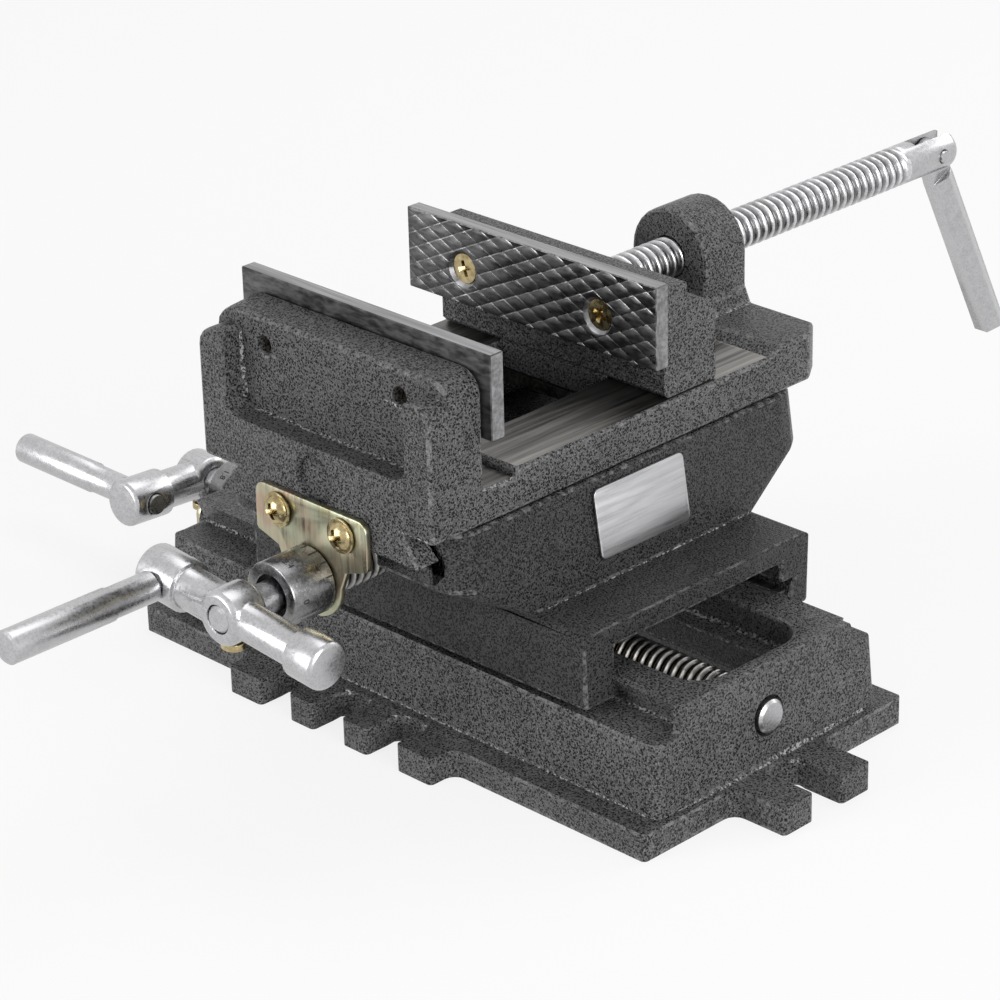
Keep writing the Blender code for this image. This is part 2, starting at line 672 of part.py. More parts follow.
# Saddle
def build_saddle_casting():
    half_x = SADDLE_LENGTH / 2
    half_y = SADDLE_WIDTH / 2
    side = rounded(box_outline(-half_y, half_y, SADDLE_FOOT_Z, SADDLE_BLOCK_TOP_Z),
                   [0, 0, SADDLE_EDGE_R, SADDLE_EDGE_R])
    block = prism("X", side, SADDLE_CENTRE_X - half_x, SADDLE_CENTRE_X + half_x)
    saddle = solid_object("saddle_casting", block, HAMMER_PAINT, SADDLE)
    add(saddle, tower_mesh())
    start, end = SADDLE_CENTRE_X - half_x - OVERRUN, SADDLE_CENTRE_X + half_x + OVERRUN
    cut(saddle, prism("X", lower_groove_outline(), start, end))
    reach = TOWER_LENGTH / 2 + OVERRUN
    cut(saddle, prism("Y", upper_groove_outline(), -reach, reach))
    cut(saddle, prism("Y", tower_channel_outline(), -reach, reach))
    for along in gib_screw_places():
        spot = (SADDLE_CENTRE_X + along, gib_screw_height_lower())
        cut(saddle, rod("Y", spot, lower_gib_outer(spot[1]) - OVERRUN, half_y + OVERRUN,
                        GIB_SCREW_R + CLEAR, SMALL_SEGMENTS))
        spot = (along, gib_screw_height_upper())
        wall = VISE_CENTRE_X - tower_half(spot[1])
        cut(saddle, rod("X", spot, wall - OVERRUN, upper_gib_outer(spot[1]) + OVERRUN,
                        GIB_SCREW_R + CLEAR, SMALL_SEGMENTS))
    cut(saddle, *nut_screw_holes())
    return saddle


def tower_mesh():
    """The drafted tower: a narrow foot on the block that swells to full length under the vise."""
    foot_z = SADDLE_BLOCK_TOP_Z - MERGE
    levels = ((foot_z, TOWER_FOOT_LENGTH, TOWER_FOOT_CORNER_R),
              (SADDLE_BLOCK_TOP_Z, TOWER_FOOT_LENGTH, TOWER_FOOT_CORNER_R),
              (TOWER_SHOULDER_Z, TOWER_LENGTH, TOWER_CORNER_R),
              (TOWER_TOP_Z, TOWER_LENGTH, TOWER_CORNER_R))
    sections = []
    for height, length, corner in levels:
        wide = tower_half(height)
        corners = box_outline(VISE_CENTRE_X - wide, VISE_CENTRE_X + wide, -length / 2, length / 2)
        sections.append((height, rounded(corners, corner)))
    return loft("Z", sections)


def lower_gib_outer(height):
    return way_half(height) + CLEAR + LOWER_GIB_THICK + CLEAR


def lower_groove_outline():
    """The female dovetail over the base way, with room for the gib at +Y and a plain channel above."""
    foot, relief = SADDLE_FOOT_Z - OVERRUN, SADDLE_RELIEF_Z
    channel = SADDLE_CHANNEL_WIDTH / 2
    return [(-way_half(foot) - CLEAR, foot), (lower_gib_outer(foot), foot), (lower_gib_outer(relief), relief),
            (channel, relief), (channel, SADDLE_ROOF_Z), (-channel, SADDLE_ROOF_Z), (-channel, relief),
            (-way_half(relief) - CLEAR, relief)]


def upper_gib_outer(height):
    return VISE_CENTRE_X - dove_half(height) - CLEAR - UPPER_GIB_THICK - CLEAR


def upper_groove_outline():
    """The female dovetail under the vise body, with room for the gib at -X."""
    top, floor = TOWER_TOP_Z + OVERRUN, TOWER_GROOVE_Z
    toe = BODY_DOVE_Z
    return [(upper_gib_outer(top), top), (upper_gib_outer(toe), toe), (upper_gib_outer(toe), floor),
            (VISE_CENTRE_X + dove_half(toe) + CLEAR, floor), (VISE_CENTRE_X + dove_half(toe) + CLEAR, toe),
            (VISE_CENTRE_X + dove_half(top) + CLEAR, top)]


def tower_channel_outline():
    half = TOWER_CHANNEL_WIDTH / 2
    corners = box_outline(VISE_CENTRE_X - half, VISE_CENTRE_X + half, TOWER_CHANNEL_Z, TOWER_GROOVE_Z + OVERRUN)
    return rounded(corners, [TOWER_CHANNEL_R, TOWER_CHANNEL_R, 0, 0])


def gib_screw_places():
    middle = (GIB_SCREW_COUNT - 1) / 2
    return [GIB_SCREW_PITCH * (index - middle) for index in range(GIB_SCREW_COUNT)]


def gib_screw_height_lower():
    return (SADDLE_FOOT_Z + WAY_TOP_Z) / 2


def gib_screw_height_upper():
    return (BODY_FOOT_Z + BODY_DOVE_Z) / 2


def build_gibs():
    low, high = SADDLE_FOOT_Z + CLEAR, WAY_TOP_Z - CLEAR
    inner = [(way_half(low) + CLEAR, low), (way_half(high) + CLEAR, high)]
    outer = [(a + LOWER_GIB_THICK, b) for a, b in reversed(inner)]
    half = SADDLE_LENGTH / 2 - SADDLE_EDGE_R
    mesh = prism("X", inner + outer, SADDLE_CENTRE_X - half, SADDLE_CENTRE_X + half)
    solid_object("lower_gib", mesh, MACHINED_IRON, SADDLE)
    low, high = BODY_DOVE_Z + CLEAR, TOWER_TOP_Z - CLEAR
    inner = [(VISE_CENTRE_X - dove_half(low) - CLEAR, low), (VISE_CENTRE_X - dove_half(high) - CLEAR, high)]
    outer = [(a - UPPER_GIB_THICK, b) for a, b in reversed(inner)]
    half = TOWER_LENGTH / 2 - TOWER_CORNER_R
    solid_object("upper_gib", prism("Y", inner + outer, -half, half), MACHINED_IRON, SADDLE)


def gib_screw(name, axis, spot, inner, wall, outward):
    """A headless adjusting screw that bears on the gib, with its lock nut against the wall."""
    tip = wall + outward * GIB_SCREW_PROUD
    start = inner + outward * CLEAR
    mesh = rod(axis, spot, start, tip, GIB_SCREW_R, SMALL_SEGMENTS)
    round_over(solid_object(name + "_screw", mesh, BLACK_SCREW, SADDLE))
    seat = wall + outward * CLEAR
    nut = rod(axis, spot, seat, seat + outward * GIB_NUT_THICK, GIB_NUT_R, 6)
    nut = solid_object(name + "_locknut", nut, BRIGHT_ZINC, SADDLE)
    cut(nut, rod(axis, spot, seat - outward * OVERRUN, tip + outward * OVERRUN, GIB_SCREW_R + CLEAR,
                 SMALL_SEGMENTS))


def build_gib_screws():
    for number, along in enumerate(gib_screw_places(), 1):
        height = gib_screw_height_lower()
        spot = (SADDLE_CENTRE_X + along, height)
        slant = WAY_SLOPE * GIB_SCREW_R
        gib_screw(f"lower_gib_{number}", "Y", spot, lower_gib_outer(height) - CLEAR + slant,
                  SADDLE_WIDTH / 2, 1)
        height = gib_screw_height_upper()
        slant = BODY_SLOPE * GIB_SCREW_R
        draft = (tower_half(SADDLE_BLOCK_TOP_Z) - tower_half(TOWER_TOP_Z)) / (TOWER_TOP_Z - SADDLE_BLOCK_TOP_Z)
        wall = VISE_CENTRE_X - tower_half(height) - draft * GIB_NUT_R
        gib_screw(f"upper_gib_{number}", "X", (along, height), upper_gib_outer(height) + CLEAR - slant, wall, -1)


def nut_screw_spots():
    """Where the screws of the lower and the upper feed nut stand."""
    return ((SADDLE_CENTRE_X + NUT_SCREW_OFFSET_X, NUT_SCREW_OFFSET_Y), (VISE_CENTRE_X, UPPER_NUT_CENTRE_Y))


def nut_screw_holes():
    low, high = SADDLE_ROOF_Z - OVERRUN, TOWER_CHANNEL_Z + OVERRUN
    lower, upper = nut_screw_spots()
    yield rod("Z", lower, low, high, NUT_SCREW_R + CLEAR, SMALL_SEGMENTS)
    sink = TOWER_CHANNEL_Z - NUT_SCREW_HEAD - CLEAR
    yield rod("Z", lower, sink, high, NUT_SCREW_HEAD_R + CLEAR, SMALL_SEGMENTS)
    yield rod("Z", upper, low, high, NUT_SCREW_R + CLEAR, SMALL_SEGMENTS)


def build_feed_nuts():
    lower_spot, upper_spot = nut_screw_spots()
    half = LOWER_NUT_LENGTH / 2
    foot, top = LOWER_AXIS_Z - LOWER_NUT_FOOT, SADDLE_ROOF_Z - CLEAR
    outline = box_outline(-LOWER_NUT_WIDTH / 2, LOWER_NUT_WIDTH / 2, foot, top)
    outline = rounded(outline, [SADDLE_EDGE_R, SADDLE_EDGE_R, 0, 0])
    start, end = SADDLE_CENTRE_X - half, SADDLE_CENTRE_X + half
    nut = solid_object("lower_feed_nut", prism("X", outline, start, end), BRONZE_NUT, SADDLE)
    cut(nut, rod("X", (0, LOWER_AXIS_Z), start - OVERRUN, end + OVERRUN, FEED_THREAD_R + CLEAR))
    cut(nut, rod("Z", lower_spot, top - NUT_SCREW_BITE - CLEAR, top + OVERRUN, NUT_SCREW_R + CLEAR,
                 SMALL_SEGMENTS))
    head_top = TOWER_CHANNEL_Z
    head_foot = head_top - NUT_SCREW_HEAD
    cap_screw("lower_feed_nut_screw", lower_spot, head_top, head_foot, top - NUT_SCREW_BITE)
    half = UPPER_NUT_LENGTH / 2
    foot, top = TOWER_CHANNEL_Z + CLEAR, UPPER_AXIS_Z + UPPER_NUT_TOP
    wide = UPPER_NUT_WIDTH / 2
    outline = box_outline(VISE_CENTRE_X - wide, VISE_CENTRE_X + wide, foot, top)
    outline = rounded(outline, [TOWER_CHANNEL_R, TOWER_CHANNEL_R, SADDLE_EDGE_R, SADDLE_EDGE_R])
    start, end = UPPER_NUT_CENTRE_Y - half, UPPER_NUT_CENTRE_Y + half
    nut = solid_object("upper_feed_nut", prism("Y", outline, start, end), BRONZE_NUT, SADDLE)
    cut(nut, rod("Y", (VISE_CENTRE_X, UPPER_AXIS_Z), start - OVERRUN, end + OVERRUN, FEED_THREAD_R + CLEAR))
    bite_end = UPPER_AXIS_Z - FEED_THREAD_R - CLEAR
    cut(nut, rod("Z", upper_spot, foot - OVERRUN, bite_end + CLEAR, NUT_SCREW_R + CLEAR, SMALL_SEGMENTS))
    head_top = SADDLE_ROOF_Z - CLEAR
    cap_screw("upper_feed_nut_screw", upper_spot, head_top - NUT_SCREW_HEAD, head_top, bite_end - CLEAR)


def cap_screw(name, spot, head_outer, head_inner, tip):
    profile = [(head_outer, 0), (head_outer, NUT_SCREW_HEAD_R), (head_inner, NUT_SCREW_HEAD_R),
               (head_inner, NUT_SCREW_R), (tip, NUT_SCREW_R), (tip, 0)]
    return round_over(solid_object(name, turned("Z", spot, profile, SMALL_SEGMENTS), BLACK_SCREW, SADDLE))


def build_label_plate():
    """The bare data plate, lying on the tower's drafted wall."""
    half_y, half_z = LABEL_LENGTH / 2, LABEL_HEIGHT / 2
    outline = rounded(box_outline(-half_y, half_y, -half_z, half_z), LABEL_CORNER_R)
    mesh = prism("X", outline, CLEAR, CLEAR + LABEL_THICK)
    run = TOWER_TOP_Z - SADDLE_BLOCK_TOP_Z
    lean = -math.atan((TOWER_FOOT_WIDTH - TOWER_TOP_WIDTH) / 2 / run)
    mesh.transform(Matrix.Rotation(lean, 4, "Y"))
    wall = VISE_CENTRE_X + tower_half(LABEL_CENTRE_Z)
    mesh.transform(Matrix.Translation((wall, 0, LABEL_CENTRE_Z)))
    solid_object("label_plate", mesh, LABEL_METAL, SADDLE)


# Feed screws
def feed_screw(name, axis, centre, plate_face, end, body, tip=None):
    """A lead screw: stub for the crank, shank through plate and dial, then the thread, all as plain rods."""
    thread_start = plate_face + PLATE_THICK + CLEAR
    dial_front = plate_face - CLEAR - DIAL_LENGTH
    hub_back = dial_front - HUB_GAP
    stub_end = hub_back - HUB_LENGTH - CLEAR
    profile = [(stub_end, 0), (stub_end, FEED_STUB_R - FEED_TIP_CHAMFER),
               (stub_end + FEED_TIP_CHAMFER, FEED_STUB_R), (hub_back + CLEAR, FEED_STUB_R),
               (hub_back + CLEAR, FEED_SHANK_R), (thread_start, FEED_SHANK_R),
               (thread_start, FEED_THREAD_R)]
    if tip:
        profile += [(end - TIP_LENGTH, FEED_THREAD_R), (end - TIP_LENGTH, FEED_TIP_R)]
        profile += [(end - FEED_TIP_CHAMFER, FEED_TIP_R), (end, FEED_TIP_R - FEED_TIP_CHAMFER), (end, 0)]
    else:
        profile += [(end - FEED_TIP_CHAMFER, FEED_THREAD_R), (end, FEED_THREAD_R - FEED_TIP_CHAMFER), (end, 0)]
    return round_over(solid_object(name, turned(axis, centre, profile), THREAD_STEEL, body))


def build_dial(name, axis, centre, plate_face, body):
    """The graduated collar, with its bore opened out at the front."""
    back = plate_face - CLEAR
    front = back - DIAL_LENGTH
    mesh = tube(axis, centre, front, back, DIAL_R, FEED_SHANK_R + CLEAR, DIAL_CHAMFER)
    dial = round_over(solid_object(name, mesh, BRIGHT_ZINC, body))
    cut(dial, rod(axis, centre, front - OVERRUN, front + DIAL_RECESS_DEPTH, DIAL_RECESS_R))


def crank_parts(name, body, screw_turn, frame):
    """Crank arm, its riveted handle and the hub screw.

    They are laid out with the screw axis on Y, the arm on X and the hub's centre on the origin, and frame
    then turns and moves them to their screw. screw_turn says on which side of the hub its screw stands.
    """
    half = HUB_LENGTH / 2
    arm = rod("Y", (0, 0), -half, half, HUB_R, ROUND_SEGMENTS, HUB_CHAMFER)
    arm_obj = crank_piece(name + "_crank", arm, BRIGHT_ZINC, body, frame)
    knob_start = KNOB_REACH - KNOB_LENGTH
    ball_start = ARM_HANDLE_REACH - ARM_BALL_R
    profile = [(-ARM_HANDLE_TIP, 0), (-ARM_HANDLE_TIP, ARM_BALL_R - KNOB_CHAMFER),
               (-ARM_HANDLE_TIP + KNOB_CHAMFER, ARM_BALL_R), (-ball_start, ARM_BALL_R),
               (-ball_start, ARM_HANDLE_R), (0, ARM_HANDLE_R), (0, ARM_NECK_R), (knob_start, ARM_NECK_R),
               (knob_start, KNOB_R), (KNOB_REACH - KNOB_CHAMFER, KNOB_R),
               (KNOB_REACH, KNOB_R - KNOB_CHAMFER), (KNOB_REACH, 0)]
    shapes = [("add", turned("X", (0, 0), profile))]
    shapes.append(("cut", rod("Y", (0, 0), -half - OVERRUN, half + OVERRUN, FEED_STUB_R + CLEAR)))
    rivet_hole = rod("Y", (-ARM_HANDLE_REACH, 0), -KNOB_R - OVERRUN, KNOB_R + OVERRUN, HANDLE_RIVET_R + CLEAR,
                     SMALL_SEGMENTS)
    shapes.append(("cut", rivet_hole))
    head_seat = -HUB_R - CLEAR
    side = Matrix.Rotation(screw_turn, 4, "Y")
    hole = rod("Z", (0, 0), -FEED_STUB_R, head_seat - OVERRUN, HUB_SCREW_R + CLEAR, SMALL_SEGMENTS)
    hole.transform(side)
    shapes.append(("cut", hole))
    for kind, mesh in shapes:
        mesh.transform(frame)
        if kind == "add":
            add(arm_obj, mesh)
        else:
            cut(arm_obj, mesh)
    neck_end = -ARM_BALL_R - CLEAR - HANDLE_LENGTH * HANDLE_NECK_SHARE
    root = -ARM_BALL_R - CLEAR
    tip = root - HANDLE_LENGTH
    head = ARM_BALL_R + HANDLE_RIVET_PROUD
    profile = [(head, 0), (head, HANDLE_RIVET_R), (root, HANDLE_RIVET_R), (root, HANDLE_NECK_R),
               (neck_end, HANDLE_NECK_R), (neck_end - HANDLE_CHAMFER, HANDLE_R),
               (tip + HANDLE_CHAMFER, HANDLE_R), (tip, HANDLE_R - HANDLE_CHAMFER), (tip, 0)]
    crank_piece(name + "_handle", turned("Y", (-ARM_HANDLE_REACH, 0), profile), BRIGHT_ZINC, body, frame)
    profile = [(-FEED_STUB_R - CLEAR, 0), (-FEED_STUB_R - CLEAR, HUB_SCREW_R), (head_seat, HUB_SCREW_R),
               (head_seat, HUB_SCREW_HEAD_R), (head_seat - HUB_SCREW_HEAD, HUB_SCREW_HEAD_R),
               (head_seat - HUB_SCREW_HEAD, 0)]
    screw = turned("Z", (0, 0), profile, SMALL_SEGMENTS)
    screw.transform(side)
    crank_piece(name + "_hub_screw", screw, BRASS_SCREW, body, frame)


def crank_piece(name, mesh, finish, body, frame):
    mesh.transform(frame)
    return round_over(solid_object(name, mesh, finish, body))


def hub_centre(plate_face):
    return plate_face - CLEAR - DIAL_LENGTH - HUB_GAP - HUB_LENGTH / 2


def build_lower_feed():
    centre = (0, LOWER_AXIS_Z)
    end = BLOCK_END_X + TIP_PROUD
    feed_screw("lower_feed_screw", "X", centre, LOWER_PLATE_FACE_X, end, LOWER_SCREW, tip=True)
    build_dial("lower_dial", "X", centre, LOWER_PLATE_FACE_X, LOWER_DIAL)
    turn = Matrix.Rotation(math.pi + LOWER_ARM_TILT, 4, "X") @ Matrix.Rotation(-math.pi / 2, 4, "Z")
    frame = Matrix.Translation((hub_centre(LOWER_PLATE_FACE_X), 0, LOWER_AXIS_Z)) @ turn
    crank_parts("lower", LOWER_SCREW, math.pi, frame)


def build_upper_feed():
    centre = (VISE_CENTRE_X, UPPER_AXIS_Z)
    feed_screw("upper_feed_screw", "Y", centre, UPPER_PLATE_FACE_Y, UPPER_SCREW_END_Y, UPPER_SCREW)
    build_dial("upper_dial", "Y", centre, UPPER_PLATE_FACE_Y, UPPER_DIAL)
    turn = Matrix.Rotation(UPPER_ARM_TILT, 4, "Y")
    frame = Matrix.Translation((VISE_CENTRE_X, hub_centre(UPPER_PLATE_FACE_Y), UPPER_AXIS_Z)) @ turn
    crank_parts("upper", UPPER_SCREW, 0, frame)


# Vise body
def build_vise_body():
    half = BODY_WIDTH / 2
    left, right = VISE_CENTRE_X - half, VISE_CENTRE_X + half
    ramp_end = SHOULDER_START_Y + SHOULDER_RUN
    side = [(BODY_FRONT_Y, BODY_FOOT_Z), (BODY_REAR_Y, BODY_FOOT_Z), (BODY_REAR_Y, SHOULDER_TOP_Z),
            (ramp_end, SHOULDER_TOP_Z), (SHOULDER_START_Y, RAIL_TOP_Z), (BODY_FRONT_Y, RAIL_TOP_Z)]
    body = solid_object("vise_body", prism("X", side, left, right), HAMMER_PAINT, VISE)
    low, neck = dove_half(BODY_DOVE_Z), dove_half(BODY_FOOT_Z + MERGE)
    dove = [(VISE_CENTRE_X - low, BODY_DOVE_Z), (VISE_CENTRE_X + low, BODY_DOVE_Z),
            (VISE_CENTRE_X + neck, BODY_FOOT_Z + MERGE), (VISE_CENTRE_X - neck, BODY_FOOT_Z + MERGE)]
    dove_end = TOWER_LENGTH / 2
    add(body, prism("Y", dove, BODY_FRONT_Y, dove_end))
    add(body, *front_block_meshes(left, right))
    add(body, rear_lug_mesh())
    cut(body, *rear_corner_meshes(left, right))
    cut(body, *channel_meshes())
    add_screw_holes(body)
    return body


def front_block_meshes(left, right):
    """The fixed jaw's wall, with the rims and the floor of the open pocket in front of it."""
    foot = BODY_FOOT_Z + MERGE
    wall = rounded(box_outline(left, right, foot, FIXED_TOP_Z), [0, 0, FIXED_CORNER_R, FIXED_CORNER_R])
    crown = [(a, b - FIXED_TOP_FALL if b > JAW_FOOT_Z else b) for a, b in wall]
    inner_left, inner_right = left + RIM_WIDTH, right - RIM_WIDTH
    tray = [(left, foot), (right, foot), (right, RIM_TOP_Z), (inner_right, RIM_TOP_Z),
            (inner_right, POCKET_FLOOR_Z), (inner_left, POCKET_FLOOR_Z), (inner_left, RIM_TOP_Z), (left, RIM_TOP_Z)]
    rim = RIM_CORNER_R
    tray = rounded(tray, [0, 0, rim, LUG_CORNER_R, POCKET_CORNER_R, POCKET_CORNER_R, LUG_CORNER_R, rim])
    return (loft("Y", [(FIXED_BACK_Y, crown), (FIXED_FACE_Y, wall)]),
            prism("Y", tray, BODY_FRONT_Y, FIXED_BACK_Y + MERGE))


def rear_lug_mesh():
    """The arched lug that the clamp screw runs through, flared where it leaves the shoulder."""
    foot = SHOULDER_TOP_Z - MERGE
    flare = [(LUG_R + LUG_FLARE, foot), (LUG_R, SHOULDER_TOP_Z + 2 * LUG_FLARE)]
    lug = flare + arc((0, CLAMP_AXIS_Z), LUG_R, 0, 0.5) + [(-a, b) for a, b in reversed(flare)]
    lug = [(VISE_CENTRE_X + a, b) for a, b in lug]
    return prism("Y", lug, LUG_FRONT_Y, BODY_REAR_Y)


def rear_corner_meshes(left, right):
    """The two broad chamfers at the rear corners."""
    low, high = BODY_FOOT_Z - OVERRUN, SHOULDER_TOP_Z + OVERRUN
    for edge, side in ((left, -1), (right, 1)):
        out = edge + side * OVERRUN
        back = BODY_REAR_Y + OVERRUN
        corner = [(edge - side * BODY_CORNER_X, BODY_REAR_Y), (edge, BODY_REAR_Y - BODY_CORNER_Y),
                  (out, BODY_REAR_Y - BODY_CORNER_Y), (out, back), (edge - side * BODY_CORNER_X, back)]
        yield prism("Z", corner, low, high)


def channel_meshes():
    """The jaw's slideway between the rails, wider under its lips, and the relief behind the fixed jaw."""
    half = CHANNEL_WIDTH / 2
    front = FIXED_FACE_Y + CLEAR
    top = RAIL_TOP_Z + OVERRUN
    open_way = box_outline(VISE_CENTRE_X - half, VISE_CENTRE_X + half, front, CHANNEL_REAR_Y)
    wide = half + CHANNEL_UNDERCUT
    margin = (CHANNEL_REAR_Y - front) * UNDERCUT_END_SHARE
    under = box_outline(VISE_CENTRE_X - wide, VISE_CENTRE_X + wide, front + margin, CHANNEL_REAR_Y - margin)
    lip = RAIL_TOP_Z - CHANNEL_LIP
    edge = BODY_WIDTH / 2 + OVERRUN
    step = box_outline(VISE_CENTRE_X - edge, VISE_CENTRE_X + edge, FIXED_FACE_Y, RAIL_START_Y)
    return (prism("Z", open_way, BODY_DOVE_Z - OVERRUN, top), prism("Z", under, BODY_DOVE_Z - OVERRUN, lip),
            prism("Z", step, RAIL_TOP_Z - RAIL_RELIEF, top))


def add_screw_holes(body):
    clamp = (VISE_CENTRE_X, CLAMP_AXIS_Z)
    cut(body, rod("Y", clamp, LUG_FRONT_Y - OVERRUN, BODY_REAR_Y + OVERRUN, CLAMP_R + CLEAR))
    for side in (-1, 1):
        spot = (VISE_CENTRE_X + side * JAW_SCREW_X, JAW_SCREW_Z)
        cut(body, rod("Y", spot, FIXED_BACK_Y - OVERRUN, FIXED_FACE_Y + OVERRUN, JAW_SCREW_R + CLEAR,
                      SMALL_SEGMENTS))
        spot = (VISE_CENTRE_X + side * UPPER_PLATE_SCREW_X, UPPER_PLATE_SCREW_Z)
        depth = BODY_FRONT_Y + PAN_SHANK_LENGTH + CLEAR
        cut(body, rod("Y", spot, BODY_FRONT_Y - OVERRUN, depth, PAN_SHANK_R + CLEAR, SMALL_SEGMENTS))
    mark = (VISE_CENTRE_X, MEDALLION_Z)
    cut(body, rod("Y", mark, BODY_FRONT_Y - OVERRUN, BODY_FRONT_Y + MEDALLION_DEPTH, MEDALLION_R))


# Jaws
def build_jaw_plate(name, back, outward, body):
    """A hardened jaw plate with two countersunk screws. Outward is the way that its gripping face looks."""
    half = JAW_LENGTH / 2
    outline = box_outline(VISE_CENTRE_X - half, VISE_CENTRE_X + half, JAW_FOOT_Z, JAW_FOOT_Z + JAW_HEIGHT)
    seat = back + outward * CLEAR
    face = seat + outward * JAW_THICK
    plate = solid_object(name + "_jaw_plate", prism("Y", outline, seat, face), JAW_STEEL, body)
    head_top = face - outward * CLEAR
    head_foot = head_top - outward * JAW_SCREW_SINK
    grow = JAW_SINK_R - JAW_SCREW_HEAD_R
    for side, word in ((-1, "left"), (1, "right")):
        spot = (VISE_CENTRE_X + side * JAW_SCREW_X, JAW_SCREW_Z)
        sink = [(seat - outward * OVERRUN, 0), (seat - outward * OVERRUN, JAW_SCREW_R + CLEAR),
                (head_foot, JAW_SCREW_R + CLEAR), (head_foot, JAW_SCREW_R + grow), (face, JAW_SINK_R),
                (face + outward * OVERRUN, JAW_SINK_R), (face + outward * OVERRUN, 0)]
        cut(plate, turned("Y", spot, sink, SMALL_SEGMENTS))
        tip = head_top - outward * JAW_SCREW_LENGTH
        profile = [(head_top, 0), (head_top, JAW_SCREW_HEAD_R), (head_foot + outward * CLEAR, JAW_SCREW_R),
                   (tip, JAW_SCREW_R), (tip, 0)]
        mesh = turned("Y", spot, profile, SMALL_SEGMENTS)
        round_over(solid_object(f"{name}_jaw_screw_{word}", mesh, BRASS_SCREW, body))


def build_movable_jaw():
    half = MOVABLE_WIDTH / 2
    left, right = VISE_CENTRE_X - half, VISE_CENTRE_X + half
    face, rear = MOVABLE_FACE_Y, MOVABLE_FACE_Y + MOVABLE_DEPTH
    foot = RAIL_TOP_Z + CLEAR
    step = face + MOVABLE_TOP_DEPTH
    toe = face + MOVABLE_FOOT_SETBACK
    corners = [(toe + MOVABLE_FOOT_CHAMFER, foot), (rear, foot), (rear, movable_step_height(rear)),
               (step, MOVABLE_STEP_Z), (step, MOVABLE_TOP_Z), (face, MOVABLE_TOP_Z), (face, MOVABLE_FOOT_TOP_Z),
               (toe, MOVABLE_FOOT_TOP_Z), (toe, foot + MOVABLE_FOOT_CHAMFER)]
    radii = [0, MOVABLE_EDGE_R, MOVABLE_BACK_R, MOVABLE_EDGE_R, MOVABLE_EDGE_R, 0, 0, MOVABLE_EDGE_R, 0]
    jaw = solid_object("movable_jaw", prism("X", rounded(corners, radii), left, right), HAMMER_PAINT, JAW)
    tongue_half = CHANNEL_WIDTH / 2 - CLEAR
    lip = RAIL_TOP_Z - CHANNEL_LIP
    tongue = box_outline(VISE_CENTRE_X - tongue_half, VISE_CENTRE_X + tongue_half, lip, foot + MERGE)
    middle = (face + rear) / 2
    add(jaw, prism("Y", tongue, middle - TONGUE_DEPTH / 2, middle + TONGUE_DEPTH / 2))
    axis = (VISE_CENTRE_X, CLAMP_AXIS_Z)
    nose_tip = rear - NOSE_LENGTH
    cut(jaw, rod("Y", axis, nose_tip - CLEAR, rear + OVERRUN, NOSE_R + CLEAR))
    pin = retain_pin_spot()
    pin_floor, pin_roof = retain_pin_span()
    cut(jaw, rod("Z", pin, pin_floor, MOVABLE_TOP_Z + OVERRUN, RETAIN_PIN_R + CLEAR, SMALL_SEGMENTS))
    pin_mesh = rod("Z", pin, pin_floor + CLEAR, pin_roof, RETAIN_PIN_R, SMALL_SEGMENTS)
    round_over(solid_object("screw_retaining_pin", pin_mesh, BRIGHT_ZINC, JAW))
    for side in (-1, 1):
        spot = (VISE_CENTRE_X + side * JAW_SCREW_X, JAW_SCREW_Z)
        depth = face + JAW_SCREW_LENGTH - JAW_THICK + 2 * CLEAR
        cut(jaw, rod("Y", spot, face - OVERRUN, depth, JAW_SCREW_R + CLEAR, SMALL_SEGMENTS))
    build_keeper(jaw, middle, lip)
    build_jaw_plate("movable", face, -1, JAW)


def retain_pin_spot():
    """The pin stands beside the screw's nose, half in its groove."""
    along = MOVABLE_FACE_Y + MOVABLE_DEPTH - NOSE_LENGTH * RETAIN_PIN_Y_SHARE
    return (VISE_CENTRE_X + NOSE_GROOVE_R + RETAIN_PIN_R + CLEAR, along)


def movable_step_height(along):
    """The casting's lower top slopes down from the step to its back."""
    run = MOVABLE_DEPTH - MOVABLE_TOP_DEPTH
    return MOVABLE_STEP_Z - MOVABLE_STEP_FALL * (along - MOVABLE_FACE_Y - MOVABLE_TOP_DEPTH) / run


def retain_pin_span():
    rear_of_pin = retain_pin_spot()[1] + RETAIN_PIN_R
    return CLAMP_AXIS_Z - 2 * NOSE_R, movable_step_height(rear_of_pin) - CLEAR


def build_keeper(jaw, middle, lip):
    """The plate under the rails that holds the movable jaw down, with its two screws."""
    top = lip - TONGUE_DROP_CLEAR
    half_x, half_y = KEEPER_WIDTH / 2, KEEPER_LENGTH / 2
    outline = box_outline(VISE_CENTRE_X - half_x, VISE_CENTRE_X + half_x, middle - half_y, middle + half_y)
    mesh = prism("Z", rounded(outline, LUG_CORNER_R), top - KEEPER_THICK, top)
    keeper = solid_object("jaw_keeper", mesh, MACHINED_IRON, JAW)
    seat = top - KEEPER_THICK
    for side, word in ((-1, "left"), (1, "right")):
        spot = (VISE_CENTRE_X + side * KEEPER_SCREW_X, middle)
        tip = lip + NUT_SCREW_BITE
        cut(keeper, rod("Z", spot, seat - OVERRUN, top + OVERRUN, NUT_SCREW_R + CLEAR, SMALL_SEGMENTS))
        cut(jaw, rod("Z", spot, lip - OVERRUN, tip + CLEAR, NUT_SCREW_R + CLEAR, SMALL_SEGMENTS))
        head_top = seat - CLEAR
        profile = [(head_top - NUT_SCREW_HEAD, 0), (head_top - NUT_SCREW_HEAD, NUT_SCREW_HEAD_R),
                   (head_top, NUT_SCREW_HEAD_R), (head_top, NUT_SCREW_R), (tip, NUT_SCREW_R), (tip, 0)]
        mesh = turned("Z", spot, profile, SMALL_SEGMENTS)
        round_over(solid_object(f"jaw_keeper_screw_{word}", mesh, BLACK_SCREW, JAW))


